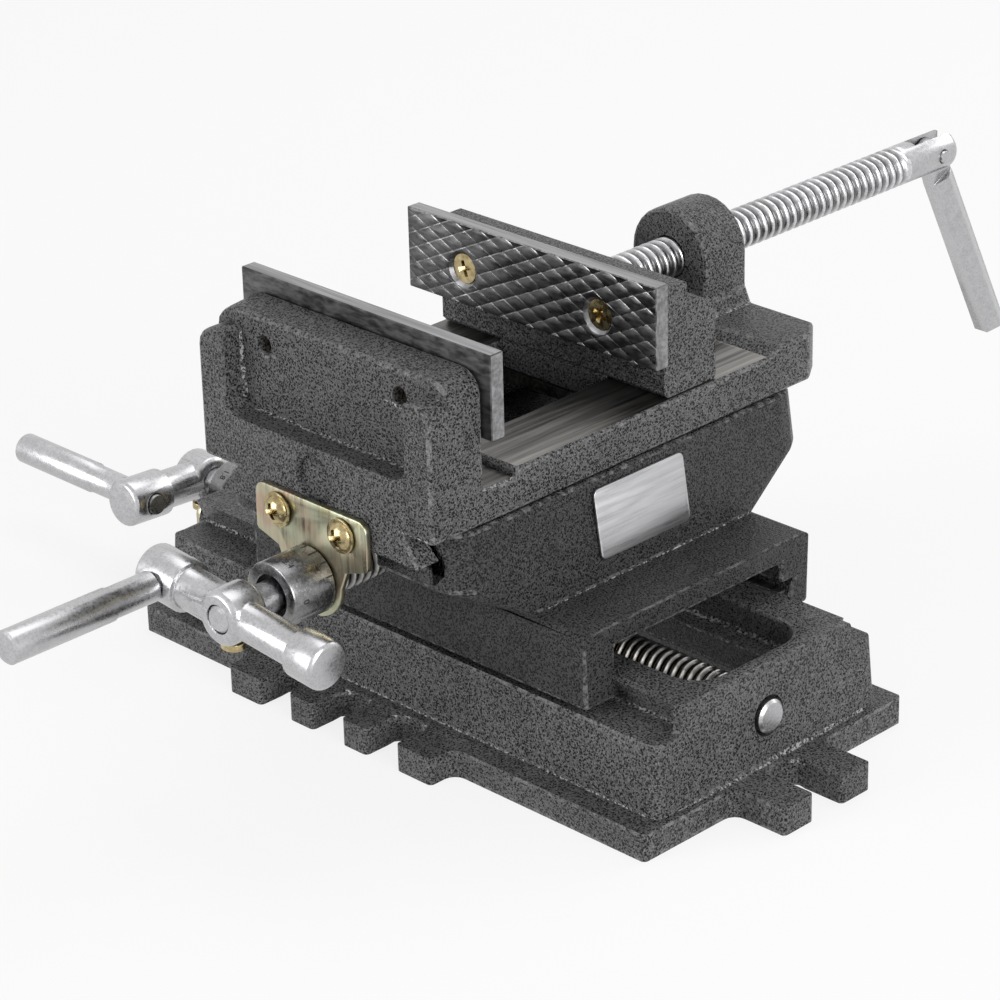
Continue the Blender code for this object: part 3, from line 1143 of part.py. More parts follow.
# Clamp screw
def build_clamp_screw():
    rear = MOVABLE_FACE_Y + MOVABLE_DEPTH
    nose_tip = rear - NOSE_LENGTH
    pin = retain_pin_spot()
    groove = NOSE_GROOVE_WIDTH / 2
    thread_start = rear + CLEAR
    profile = [(nose_tip, 0), (nose_tip, NOSE_R - FEED_TIP_CHAMFER), (nose_tip + FEED_TIP_CHAMFER, NOSE_R),
               (pin[1] - groove, NOSE_R), (pin[1] - groove, NOSE_GROOVE_R), (pin[1] + groove, NOSE_GROOVE_R),
               (pin[1] + groove, NOSE_R), (thread_start, NOSE_R), (thread_start, CLAMP_R),
               (CLAMP_END_Y - 2 * FEED_TIP_CHAMFER, CLAMP_R), (CLAMP_END_Y, CLAMP_R - FEED_TIP_CHAMFER),
               (CLAMP_END_Y, 0)]
    axis = (VISE_CENTRE_X, CLAMP_AXIS_Z)
    screw = round_over(solid_object("clamp_screw", turned("Y", axis, profile), THREAD_STEEL, CLAMP))
    slot_half = CLAMP_SLOT_WIDTH / 2
    tall = CLAMP_R + OVERRUN
    slot = box_outline(VISE_CENTRE_X - slot_half, VISE_CENTRE_X + slot_half, CLAMP_AXIS_Z - tall,
                       CLAMP_AXIS_Z + tall)
    cut(screw, prism("Y", slot, CLAMP_END_Y - CLAMP_SLOT_DEPTH, CLAMP_END_Y + OVERRUN))
    pivot = (TOMMY_PIVOT_Y, CLAMP_AXIS_Z)
    hole = TOMMY_PIN_R + CLEAR
    cut(screw, rod("X", pivot, VISE_CENTRE_X - tall, VISE_CENTRE_X + tall, hole, SMALL_SEGMENTS))
    reach = CLAMP_R + TOMMY_PIN_PROUD
    pin_mesh = rod("X", pivot, VISE_CENTRE_X - reach, VISE_CENTRE_X + reach, TOMMY_PIN_R, SMALL_SEGMENTS)
    round_over(solid_object("clamp_handle_pin", pin_mesh, BRIGHT_ZINC, CLAMP))
    build_clamp_handle(pivot)


def build_clamp_handle(pivot):
    """The hexagonal folding handle: a flat tongue in the screw's slot, then the full bar."""
    across = TOMMY_FLATS / math.sqrt(3)
    hexagon = [(across * math.cos(math.tau * i / 6), across * math.sin(math.tau * i / 6)) for i in range(6)]
    bar = prism("Z", hexagon, -TOMMY_LENGTH, -TOMMY_NECK)
    tongue_half = CLAMP_SLOT_WIDTH / 2 - CLEAR
    arch = arc((0, 0), TOMMY_TONGUE_R, 0, 0.5, SMALL_SEGMENTS // 2)
    tongue = arch + [(-TOMMY_TONGUE_R, -TOMMY_NECK - MERGE), (TOMMY_TONGUE_R, -TOMMY_NECK - MERGE)]
    tongue_mesh = prism("X", tongue, -tongue_half, tongue_half)
    hole = rod("X", (0, 0), -CLAMP_R, CLAMP_R, TOMMY_PIN_R + CLEAR, SMALL_SEGMENTS)
    place = Matrix.Translation((VISE_CENTRE_X, *pivot)) @ Matrix.Rotation(TOMMY_TILT, 4, "X")
    for mesh in (bar, tongue_mesh, hole):
        mesh.transform(place)
    handle = solid_object("clamp_handle", bar, BRIGHT_ZINC, TOMMY)
    add(handle, tongue_mesh)
    cut(handle, hole)


build_base_casting()
build_lower_bearing_plate()
build_saddle_casting()
build_gibs()
build_gib_screws()
build_feed_nuts()
build_label_plate()
build_lower_feed()
build_vise_body()
build_upper_bearing_plate()
build_upper_feed()
build_jaw_plate("fixed", FIXED_FACE_Y, 1, VISE)
build_movable_jaw()
build_clamp_screw()
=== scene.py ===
# %% [markdown]
# Cross slide vise
#
# The vise is two slides crossed at right angles on a slotted base, with a drill press vise on top. The
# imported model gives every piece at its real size. This file gives them their finish: hammered enamel on
# the castings, machined rails, hatched jaw plates, rolled threads and plated steel. Every piece is laid
# out in metres.

# %% Load the frame
import json
import math

import bmesh
import bpy
from mathutils import Matrix, Vector
from mathutils.geometry import intersect_point_line


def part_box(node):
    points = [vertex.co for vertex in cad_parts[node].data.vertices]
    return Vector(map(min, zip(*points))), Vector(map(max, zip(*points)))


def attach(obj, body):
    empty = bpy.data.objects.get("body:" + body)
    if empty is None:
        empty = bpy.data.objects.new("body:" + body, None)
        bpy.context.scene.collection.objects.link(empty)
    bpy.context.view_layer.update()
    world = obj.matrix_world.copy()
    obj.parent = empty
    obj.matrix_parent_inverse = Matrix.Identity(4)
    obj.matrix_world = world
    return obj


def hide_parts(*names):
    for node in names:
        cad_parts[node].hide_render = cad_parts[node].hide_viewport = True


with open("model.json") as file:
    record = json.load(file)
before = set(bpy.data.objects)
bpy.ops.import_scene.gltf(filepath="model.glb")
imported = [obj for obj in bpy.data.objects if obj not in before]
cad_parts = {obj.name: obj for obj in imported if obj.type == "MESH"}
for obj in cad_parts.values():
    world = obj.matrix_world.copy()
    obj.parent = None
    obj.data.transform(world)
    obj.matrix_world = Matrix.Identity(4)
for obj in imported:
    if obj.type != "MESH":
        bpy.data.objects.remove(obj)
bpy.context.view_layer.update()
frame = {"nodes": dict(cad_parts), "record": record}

# %% [markdown]
# Camera
#
# A product photograph is taken with a long lens, so the camera is far away and its view is narrow. The
# camera stands on a direction from the middle of the base, given as an azimuth and an elevation, and is
# rolled a little, as the photograph is.

# %% Camera
VIEW_AZIMUTH = math.radians(45.515)
VIEW_ELEVATION = math.radians(24.794)
VIEW_ROLL = math.radians(-1.475)
VIEW_DISTANCE = 1.10354
VIEW_ASIDE = -0.00378
VIEW_ABOVE = 0.05255
FOCAL_RATIO = 3.65555
BASE_MIDDLE = Vector((0, sum(corner.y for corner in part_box("saddle_casting")) / 2, 0))


def new_in_scene(name, data):
    """An object in the scene that holds this data."""
    obj = bpy.data.objects.new(name, data)
    bpy.context.scene.collection.objects.link(obj)
    return obj


def view_axes():
    """Right, up and back of the camera as unit vectors."""
    back = Vector((math.sin(VIEW_AZIMUTH) * math.cos(VIEW_ELEVATION),
                   -math.cos(VIEW_AZIMUTH) * math.cos(VIEW_ELEVATION), math.sin(VIEW_ELEVATION)))
    right = (-back).cross(Vector((0, 0, 1))).normalized()
    up = right.cross(-back)
    turn = Matrix.Rotation(-VIEW_ROLL, 3, -back)
    return turn @ right, turn @ up, back


def place_camera():
    right, up, back = view_axes()
    data = bpy.data.cameras.new("camera")
    data.sensor_width = 36
    data.lens = FOCAL_RATIO * data.sensor_width
    data.clip_start, data.clip_end = 0.05, 20
    camera = new_in_scene("camera", data)
    eye = BASE_MIDDLE + back * VIEW_DISTANCE + right * VIEW_ASIDE + up * VIEW_ABOVE
    camera.matrix_world = Matrix.Translation(eye) @ Matrix((right, up, back)).transposed().to_4x4()
    bpy.context.scene.camera = camera
    return camera


camera = place_camera()
print("camera at", [round(value, 3) for value in camera.location])

# %% [markdown]
# Light and floor
#
# Dark enamel and plated steel show what they reflect, so they need wide soft lamps more than bright ones.
# Two stronger lamps stand on the right, for the end faces, and on the left, for the front. Two weak ones
# above and behind light the top edges. The floor is pale, and the world behind it looks white to the
# camera, to gloss and through glass.

# %% Light and floor
FLOOR_SIZE = 12
FLOOR_GREY = 0.86
FLOOR_GLOW = 0.82
WORLD_LIGHT = 0.3
WORLD_SEEN = 1.0


def area_lamp(name, place, aim, size, power):
    data = bpy.data.lights.new(name, "AREA")
    data.shape = "RECTANGLE"
    data.size, data.size_y = size
    data.energy = power
    lamp = new_in_scene(name, data)
    look = Vector(place) - Vector(aim)
    lamp.matrix_world = Matrix.Translation(place) @ look.to_track_quat("Z", "Y").to_matrix().to_4x4()
    return lamp


VISE_MIDDLE = BASE_MIDDLE + Vector((0, 0, 0.07))
for name, place, size, power in (("right_softbox", (1.4, -0.3, 0.42), (0.9, 0.9), 16),
                                 ("left_softbox", (-0.55, -1.5, 0.4), (0.8, 0.8), 15),
                                 ("top_softbox", (-0.2, 0.5, 1.4), (1.2, 1.0), 6),
                                 ("rear_softbox", (0.2, 1.5, 0.8), (1.2, 0.6), 6)):
    area_lamp(name, VISE_MIDDLE + Vector(place), VISE_MIDDLE, size, power)


def seen_ray(nodes, links):
    """1 on a ray that shows the background: from the camera, off gloss or through glass."""
    path = nodes.new("ShaderNodeLightPath")
    share = path.outputs["Is Camera Ray"]
    for ray in ("Is Glossy Ray", "Is Transmission Ray"):
        either = nodes.new("ShaderNodeMath")
        either.operation = "MAXIMUM"
        links.new(share, either.inputs[0])
        links.new(path.outputs[ray], either.inputs[1])
        share = either.outputs[0]
    return share


def light_world():
    world = bpy.data.worlds.new("studio")
    world.use_nodes = True
    bpy.context.scene.world = world
    nodes, links = world.node_tree.nodes, world.node_tree.links
    background = nodes["Background"]
    background.inputs["Color"].default_value = (1, 1, 1, 1)
    level = nodes.new("ShaderNodeMapRange")
    level.inputs["To Min"].default_value = WORLD_LIGHT
    level.inputs["To Max"].default_value = WORLD_SEEN
    links.new(seen_ray(nodes, links), level.inputs["Value"])
    links.new(level.outputs[0], background.inputs["Strength"])


def lay_floor():
    mesh = bpy.data.meshes.new("floor")
    half = FLOOR_SIZE / 2
    corners = [(-half, -half, 0), (half, -half, 0), (half, half, 0), (-half, half, 0)]
    mesh.from_pydata(corners, [], [(0, 1, 2, 3)])
    floor = new_in_scene("floor", mesh)
    material = bpy.data.materials.new("studio_floor")
    material.use_nodes = True
    nodes, links = material.node_tree.nodes, material.node_tree.links
    shader = nodes["Principled BSDF"]
    shader.inputs["Base Color"].default_value = (FLOOR_GREY, FLOOR_GREY, FLOOR_GREY, 1)
    shader.inputs["Roughness"].default_value = 0.9
    glow = nodes.new("ShaderNodeEmission")
    share = nodes.new("ShaderNodeMath")
    share.operation = "MULTIPLY"
    share.inputs[1].default_value = FLOOR_GLOW
    mix = nodes.new("ShaderNodeMixShader")
    links.new(seen_ray(nodes, links), share.inputs[0])
    links.new(share.outputs[0], mix.inputs["Fac"])
    links.new(shader.outputs[0], mix.inputs[1])
    links.new(glow.outputs[0], mix.inputs[2])
    links.new(mix.outputs[0], nodes["Material Output"].inputs["Surface"])
    mesh.materials.append(material)


light_world()
lay_floor()
bpy.context.scene.view_settings.view_transform = "Standard"

# %% [markdown]
# Shader groups
#
# Hammered enamel dries with small dark pits in a grey film. The pits are cells of a Voronoi texture, made
# ragged by a noise and cut off hard, and a slow noise makes the clouds. Machined and plated steel share a
# second effect, fine lines along one direction. The third marks the mesh with attributes: rounded edges,
# where paint is thin and rubbed, and fillets, where it dries in beads that get a painted highlight. Each
# is a group, so that several finishes can use it with their own values.

# %% Shader groups
PIT_SCALE = 1250.0
FLECK_SCALE = 2400.0
CLOUD_SCALE = 55.0
FINE_LINES = 900.0
BROAD_LINES = 180.0
PATCH_SCALE = 420.0
BEAD_GLINT_SCALE = 1100.0


def shader_group(name, inputs, outputs):
    """An empty group with float inputs (name, value) and outputs (name, socket type)."""
    tree = bpy.data.node_groups.new(name, "ShaderNodeTree")
    for label, value in inputs:
        socket = tree.interface.new_socket(label, in_out="INPUT", socket_type="NodeSocketFloat")
        socket.default_value = value
    for label, kind in outputs:
        tree.interface.new_socket(label, in_out="OUTPUT", socket_type=kind)
    return tree, tree.nodes.new("NodeGroupInput"), tree.nodes.new("NodeGroupOutput")


def math_node(tree, operation, first, second=None, clamp=False):
    """A Math node; each operand is a socket or a number."""
    node = tree.nodes.new("ShaderNodeMath")
    node.operation = operation
    node.use_clamp = clamp
    for slot, value in ((0, first), (1, second)):
        if value is None:
            continue
        if isinstance(value, (int, float)):
            node.inputs[slot].default_value = value
        else:
            tree.links.new(value, node.inputs[slot])
    return node.outputs[0]


def ramp_between(tree, value, low, high):
    """The value spread from low..high to 0..1."""
    node = tree.nodes.new("ShaderNodeMapRange")
    node.interpolation_type = "SMOOTHSTEP"
    tree.links.new(value, node.inputs["Value"])
    node.inputs["From Min"].default_value = low
    node.inputs["From Max"].default_value = high
    return node.outputs[0]


def object_place(tree):
    return tree.nodes.new("ShaderNodeTexCoord").outputs["Object"]


def attribute(tree, name):
    node = tree.nodes.new("ShaderNodeAttribute")
    node.attribute_name = name
    return node.outputs["Fac"]


def noise_at(tree, vector, scale, detail=2.0, roughness=0.55):
    node = tree.nodes.new("ShaderNodeTexNoise")
    tree.links.new(vector, node.inputs["Vector"])
    if isinstance(scale, (int, float)):
        node.inputs["Scale"].default_value = scale
    else:
        tree.links.new(scale, node.inputs["Scale"])
    node.inputs["Detail"].default_value = detail
    node.inputs["Roughness"].default_value = roughness
    return node.outputs["Fac"]


def make_hammer_group():
    """Pits and clouds of hammered enamel. Puts out a tone mask and a height."""
    tree, start, end = shader_group("hammered_enamel", [("Scale", 1.0), ("Pit", 0.9)],
                                    [("Tone", "NodeSocketFloat"), ("Height", "NodeSocketFloat")])
    place = object_place(tree)
    pit_scale = math_node(tree, "MULTIPLY", start.outputs["Scale"], PIT_SCALE)
    fleck_scale = math_node(tree, "MULTIPLY", start.outputs["Scale"], FLECK_SCALE)
    cloud_scale = math_node(tree, "MULTIPLY", start.outputs["Scale"], CLOUD_SCALE)
    cells = tree.nodes.new("ShaderNodeTexVoronoi")
    tree.links.new(place, cells.inputs["Vector"])
    tree.links.new(pit_scale, cells.inputs["Scale"])
    ragged = math_node(tree, "MULTIPLY", noise_at(tree, place, fleck_scale, 1.0), 0.5)
    pits = ramp_between(tree, math_node(tree, "ADD", cells.outputs["Distance"], ragged), 0.5, 0.84)
    flecks = ramp_between(tree, noise_at(tree, place, fleck_scale, 1.0), 0.44, 0.66)
    clouds = ramp_between(tree, noise_at(tree, place, cloud_scale, 3.0), 0.3, 0.7)
    film = math_node(tree, "ADD", math_node(tree, "MULTIPLY", flecks, 0.55),
                     math_node(tree, "ADD", math_node(tree, "MULTIPLY", clouds, 0.15), 0.3))
    sunk = math_node(tree, "MULTIPLY", math_node(tree, "SUBTRACT", 1.0, pits), start.outputs["Pit"])
    kept = math_node(tree, "SUBTRACT", 1.0, sunk)
    height = math_node(tree, "ADD", pits, math_node(tree, "MULTIPLY", flecks, 0.5))
    tree.links.new(math_node(tree, "MULTIPLY", film, kept, clamp=True), end.inputs["Tone"])
    tree.links.new(height, end.inputs["Height"])
    return tree


def make_line_group():
    """Fine lines along one direction, as a tool or a brush leaves them. Stretch sets the direction."""
    stretches = [("Along X", 1.0), ("Along Y", 1.0), ("Along Z", 1.0)]
    tree, start, end = shader_group("tool_lines", [("Scale", 1.0), *stretches],
                                    [("Mask", "NodeSocketFloat")])
    place = object_place(tree)
    stretch = tree.nodes.new("ShaderNodeCombineXYZ")
    for axis in "XYZ":
        tree.links.new(start.outputs[f"Along {axis}"], stretch.inputs[axis])
    scaled = tree.nodes.new("ShaderNodeVectorMath")
    scaled.operation = "MULTIPLY"
    tree.links.new(place, scaled.inputs[0])
    tree.links.new(stretch.outputs[0], scaled.inputs[1])
    fine_scale = math_node(tree, "MULTIPLY", start.outputs["Scale"], FINE_LINES)
    broad_scale = math_node(tree, "MULTIPLY", start.outputs["Scale"], BROAD_LINES)
    fine = math_node(tree, "MULTIPLY", noise_at(tree, scaled.outputs[0], fine_scale, 3.0, 0.6), 0.65)
    broad = math_node(tree, "MULTIPLY", noise_at(tree, scaled.outputs[0], broad_scale), 0.35)
    tree.links.new(math_node(tree, "ADD", fine, broad), end.inputs["Mask"])
    return tree


def make_wear_and_highlight_group():
    """Rubbed outer edges, and a painted highlight on the paint bead in each fillet: two mesh attributes
    broken up by noise.
    """
    tree, start, end = shader_group("edge_wear", [("Amount", 0.6)],
                                    [("Mask", "NodeSocketFloat"), ("Bead", "NodeSocketFloat")])
    place = object_place(tree)
    patches = ramp_between(tree, noise_at(tree, place, PATCH_SCALE, 3.0), 0.42, 0.66)
    worn = math_node(tree, "MULTIPLY", attribute(tree, "rounded_edge"), patches)
    mask = math_node(tree, "MULTIPLY", worn, start.outputs["Amount"], clamp=True)
    tree.links.new(mask, end.inputs["Mask"])
    # Painted highlight: broken light spots along the fillets, for the gloss on their paint beads.
    beads = ramp_between(tree, noise_at(tree, place, BEAD_GLINT_SCALE, 1.0), 0.5, 0.62)
    tree.links.new(math_node(tree, "MULTIPLY", attribute(tree, "rounded_fillet"), beads), end.inputs["Bead"])
    return tree


HAMMERED = make_hammer_group()
TOOL_LINES = make_line_group()
EDGE_WEAR_AND_HIGHLIGHT = make_wear_and_highlight_group()
print("shader groups:", HAMMERED.name, TOOL_LINES.name, EDGE_WEAR_AND_HIGHLIGHT.name)

# %% [markdown]
# Finishes
#
# Each finish is one Principled shader fed by the groups. The helper below makes the shader, and the
# functions after it join the groups to its colour, roughness and bump.

# %% Finish helpers


def new_finish(name, roughness, metallic):
    material = bpy.data.materials.new(name)
    material.use_nodes = True
    shader = material.node_tree.nodes["Principled BSDF"]
    shader.inputs["Roughness"].default_value = roughness
    shader.inputs["Metallic"].default_value = metallic
    return material, material.node_tree, shader


def use_group(tree, group, **values):
    node = tree.nodes.new("ShaderNodeGroup")
    node.node_tree = group
    for label, value in values.items():
        node.inputs[label.replace("_", " ")].default_value = value
    return node


def blend_colour(tree, share, dark, light):
    node = tree.nodes.new("ShaderNodeMix")
    node.data_type = "RGBA"
    tree.links.new(share, node.inputs["Factor"])
    for slot, colour in (("A", dark), ("B", light)):
        socket = next(item for item in node.inputs if item.name == slot and item.type == "RGBA")
        if hasattr(colour, "links"):
            tree.links.new(colour, socket)
        else:
            socket.default_value = (*colour, 1)
    return next(item for item in node.outputs if item.type == "RGBA")


def bump(tree, shader, height, distance, strength):
    node = tree.nodes.new("ShaderNodeBump")
    node.inputs["Distance"].default_value = distance
    node.inputs["Strength"].default_value = strength
    tree.links.new(height, node.inputs["Height"])
    tree.links.new(node.outputs["Normal"], shader.inputs["Normal"])


def spread(tree, mask, low, high):
    node = tree.nodes.new("ShaderNodeMapRange")
    tree.links.new(mask, node.inputs["Value"])
    node.inputs["To Min"].default_value = low
    node.inputs["To Max"].default_value = high
    return node.outputs[0]


# %% Hammered enamel


PIT_COLOUR = (0.002, 0.002, 0.0022)
# The fillet beads are painted this light grey: a painted highlight for their gloss.
BEAD_HIGHLIGHT_COLOUR = (0.42, 0.42, 0.43)
WORN_COLOUR = (0.3, 0.3, 0.3)
PIT_RELIEF = 0.00022


def hammer_paint(name, light):
    material, tree, shader = new_finish(name, 0.4, 0.0)
    shader.inputs["IOR"].default_value = 1.3
    shader.inputs["Specular IOR Level"].default_value = 0.4
    enamel = use_group(tree, HAMMERED, Scale=1.0, Pit=0.95)
    wear_and_highlight = use_group(tree, EDGE_WEAR_AND_HIGHLIGHT, Amount=0.45)
    paint = blend_colour(tree, enamel.outputs["Tone"], PIT_COLOUR, light)
    # Painted highlight: the colour is lightened on the fillet beads, for the gloss they catch.
    with_bead_highlight = blend_colour(tree, wear_and_highlight.outputs["Bead"], paint, BEAD_HIGHLIGHT_COLOUR)
    colour = blend_colour(tree, wear_and_highlight.outputs["Mask"], with_bead_highlight, WORN_COLOUR)
    tree.links.new(colour, shader.inputs["Base Color"])
    tree.links.new(spread(tree, enamel.outputs["Tone"], 0.26, 0.4), shader.inputs["Roughness"])
    bump(tree, shader, enamel.outputs["Height"], PIT_RELIEF, 0.8)
    return material


# %% Lined metals


LINE_DEPTH = 0.00002


def lined_metal(name, dark, light, roughness, stretch, metallic=1.0, depth=LINE_DEPTH, root_shade_and_grime=None):
    """Metal with fine lines along the axis whose stretch is small. Painted shade and grime at thread roots.
    """
    material, tree, shader = new_finish(name, roughness[0], metallic)
    lines = use_group(tree, TOOL_LINES, Scale=1.0, Along_X=stretch[0], Along_Y=stretch[1],
                      Along_Z=stretch[2])
    wide = ramp_between(tree, lines.outputs["Mask"], 0.32, 0.68)
    colour = blend_colour(tree, wide, dark, light)
    if root_shade_and_grime:
        # Painted shade with some grime: the colour darkens in the thread root, where shade falls.
        colour = blend_colour(tree, attribute(tree, "thread_root"), colour, root_shade_and_grime)
    tree.links.new(colour, shader.inputs["Base Color"])
    tree.links.new(spread(tree, wide, *roughness), shader.inputs["Roughness"])
    bump(tree, shader, lines.outputs["Mask"], depth, 0.6)
    return material


def grey(level):
    return level, level, level * 1.02


ALONG_Y = (1.0, 0.03, 1.0)
ALONG_X = (0.03, 1.0, 1.0)
EVEN = (0.6, 0.6, 0.6)
HAMMER_PAINT = hammer_paint("hammer_paint", grey(0.19))
# The saddle gets a darker copy of the same enamel: painted shade, for the shade it sits in under the parts
# above it.
SHADED_SADDLE_PAINT = hammer_paint("saddle_paint", grey(0.085))
MACHINED_IRON = lined_metal("machined_iron", (0.066, 0.063, 0.06), (0.2, 0.194, 0.186), (0.3, 0.5), ALONG_Y)
JAW_STEEL = lined_metal("jaw_steel", grey(0.035), grey(0.13), (0.3, 0.5), (0.25, 0.4, 0.8), 0.85)
JAW_EDGE = lined_metal("jaw_edge_steel", grey(0.16), grey(0.34), (0.3, 0.5), ALONG_X)
CUT_STEEL = lined_metal("cut_steel", grey(0.08), grey(0.36), (0.2, 0.4), EVEN)
BRIGHT_ZINC = lined_metal("bright_zinc", grey(0.42), grey(0.52), (0.24, 0.36), (1.3, 1.3, 1.3),
                          depth=0.000012)
DIAL_ZINC = lined_metal("dial_zinc", grey(0.17), grey(0.27), (0.2, 0.32), (1.2, 1.2, 1.2), depth=0.000008)
THREAD_STEEL = lined_metal("thread_steel", grey(0.42), grey(0.74), (0.22, 0.4), EVEN, root_shade_and_grime=grey(0.09))
DARK_THREAD = lined_metal("dark_thread", (0.2, 0.198, 0.19), (0.46, 0.455, 0.44), (0.25, 0.4), EVEN,
                          root_shade_and_grime=(0.03, 0.028, 0.026))
LABEL_METAL = lined_metal("label_metal", grey(0.42), grey(0.56), (0.25, 0.38), (1.0, 0.05, 1.0))
BRASS_SCREW = lined_metal("brass_screw", (0.27, 0.21, 0.1), (0.55, 0.46, 0.26), (0.18, 0.34), EVEN)
BRONZE_NUT = lined_metal("bronze_nut", (0.28, 0.17, 0.07), (0.46, 0.31, 0.14), (0.35, 0.5), EVEN)
BLACK_SCREW = lined_metal("black_screw", grey(0.02), grey(0.06), (0.3, 0.5), EVEN, 0.6)


# %% Yellow passivated zinc


def yellow_zinc():
    """A gold film whose hue drifts to rose and green, over brushed lines."""
    material, tree, shader = new_finish("yellow_zinc", 0.3, 1.0)
    place = object_place(tree)
    drift = noise_at(tree, place, 75.0, 2.0, 0.5)
    ramp = tree.nodes.new("ShaderNodeValToRGB")
    stops = ramp.color_ramp.elements
    stops[0].position, stops[0].color = 0.32, (0.43, 0.31, 0.23, 1)
    stops[1].position, stops[1].color = 0.68, (0.31, 0.29, 0.17, 1)
    for position, colour in ((0.44, (0.45, 0.41, 0.29, 1)), (0.56, (0.4, 0.41, 0.3, 1))):
        stops.new(position).color = colour
    tree.links.new(drift, ramp.inputs["Fac"])
    lines = use_group(tree, TOOL_LINES, Scale=1.0, Along_X=1.0, Along_Y=1.0, Along_Z=0.06)
    brushed = ramp_between(tree, lines.outputs["Mask"], 0.3, 0.7)
    dimmed = blend_colour(tree, brushed, (0.13, 0.125, 0.09), ramp.outputs["Color"])
    share = spread(tree, brushed, 0.55, 1.0)
    tree.links.new(blend_colour(tree, share, dimmed, ramp.outputs["Color"]), shader.inputs["Base Color"])
    tree.links.new(spread(tree, brushed, 0.24, 0.4), shader.inputs["Roughness"])
    bump(tree, shader, lines.outputs["Mask"], LINE_DEPTH, 0.5)
    return material


def plain_finish(name, colour, roughness):
    """A small dark mark or ink: one noise breaks up its tone."""
    material, tree, shader = new_finish(name, roughness, 0.0)
    place = object_place(tree)
    share = noise_at(tree, place, 900.0)
    tree.links.new(blend_colour(tree, share, colour, tuple(value * 1.6 for value in colour)),
                   shader.inputs["Base Color"])
    return material


YELLOW_ZINC = yellow_zinc()
DIAL_INK = plain_finish("dial_ink", (0.006, 0.006, 0.006), 0.8)
FINISH_OF_SLOT = {"hammer_paint": HAMMER_PAINT, "machined_iron": MACHINED_IRON, "jaw_steel": JAW_STEEL,
                  "bright_zinc": BRIGHT_ZINC, "yellow_zinc": YELLOW_ZINC, "brass_screw": BRASS_SCREW,
                  "thread_steel": THREAD_STEEL, "label_metal": LABEL_METAL, "bronze_nut": BRONZE_NUT,
                  "black_screw": BLACK_SCREW}
SLOT_OF_NODE = {item["node"]: item["material_slot"] for item in frame["record"]["subparts"]}
BODY_OF_NODE = {node: body for body, nodes in frame["record"]["behaviour"]["bodies"].items()
                for node in nodes}
for node, slot_name in SLOT_OF_NODE.items():
    frame["nodes"][node].data.materials.clear()
    frame["nodes"][node].data.materials.append(FINISH_OF_SLOT[slot_name])
print("finishes:", len(bpy.data.materials))

# %% [markdown]
# Castings and pressed pieces
#
# The frame's meshes have sharp edges. A casting has none: paint and mould round them all. The piece is
# copied, its triangles are joined back into flat faces, and its edges are bevelled: those with room by the
# full width, and the others by a narrow one. The bevel's own faces are marked apart: outer edges for rubbed
# paint, and hollow fillets for the painted highlight on their paint beads.

# %% Rounded copies of the frame's pieces
FLAT_ANGLE = math.radians(1.2)
EDGE_ANGLE = math.radians(24)
NARROW_ANGLE = math.radians(50)
NARROW_EDGE = 0.0002
JOINED = 0.000004
STRAIGHT_ON = math.radians(145)
ROOM_SHARE = 0.45
NO_LIMIT = 1.0
ROUND_SEGMENTS = 2
SMOOTH_ANGLE = 38
PIECE_ANGLE = 30


def clean_copy(node):
    """The node's mesh with its loose triangles joined into flat faces."""
    bm = bmesh.new()
    bm.from_mesh(frame["nodes"][node].data)
    bmesh.ops.remove_doubles(bm, verts=bm.verts, dist=JOINED)
    bmesh.ops.dissolve_limit(bm, angle_limit=FLAT_ANGLE, verts=bm.verts, edges=bm.edges)
    return bm


def sharp_edges(bm, hollow):
    """Edges sharper than EDGE_ANGLE: the hollow corners, or the outer ones."""
    found = []
    for edge in bm.edges:
        if len(edge.link_faces) != 2:
            continue
        angle = edge.calc_face_angle_signed(0)
        if abs(angle) > EDGE_ANGLE and (angle < 0) == hollow:
            found.append(edge)
    return found


def new_object(name, bm, materials):
    mesh = bpy.data.meshes.new(name)
    bm.to_mesh(mesh)
    bm.free()
    for material in materials:
        mesh.materials.append(material)
    return new_in_scene(name, mesh)


def plain_mesh(obj):
    """The object's mesh with its modifiers applied, and its attributes kept."""
    graph = bpy.context.evaluated_depsgraph_get()
    return bpy.data.meshes.new_from_object(obj.evaluated_get(graph), preserve_all_data_layers=True,
                                           depsgraph=graph)


def smooth_by_angle(obj, degrees=SMOOTH_ANGLE):
    obj.data.shade_smooth()
    obj.data.set_sharp_from_angle(angle=math.radians(degrees))


def stand_in(obj, node):
    """The piece rides with the node's body and stands for it: the node is hidden."""
    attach(obj, BODY_OF_NODE[node])
    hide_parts(node)
    return obj


def corner_room(edge, other):
    """How far the two edges of a corner can be offset before the shorter one is used up."""
    shared = next(iter(set(edge.verts) & set(other.verts)))
    ways = [(item.other_vert(shared).co - shared.co).normalized() for item in (edge, other)]
    apart = ways[0].angle(ways[1], 0)
    if apart > STRAIGHT_ON:
        return NO_LIMIT
    return min(edge.calc_length(), other.calc_length()) * min(1.0, math.tan(apart / 2))


def room_at(edge, sharp):
    """How far a rounding can reach from an edge across its faces before it meets another sharp edge."""
    room = NO_LIMIT
    points = [edge.verts[0].co.lerp(edge.verts[1].co, share) for share in (0.15, 0.5, 0.85)]
    for face in edge.link_faces:
        for other in face.edges:
            if other is edge or other not in sharp:
                continue
            if set(edge.verts) & set(other.verts):
                room = min(room, corner_room(edge, other))
                continue
            one, two = other.verts[0].co, other.verts[1].co
            for point in points:
                near, share = intersect_point_line(point, one, two)
                near = one.lerp(two, min(max(share, 0), 1))
                room = min(room, (near - point).length)
    return room


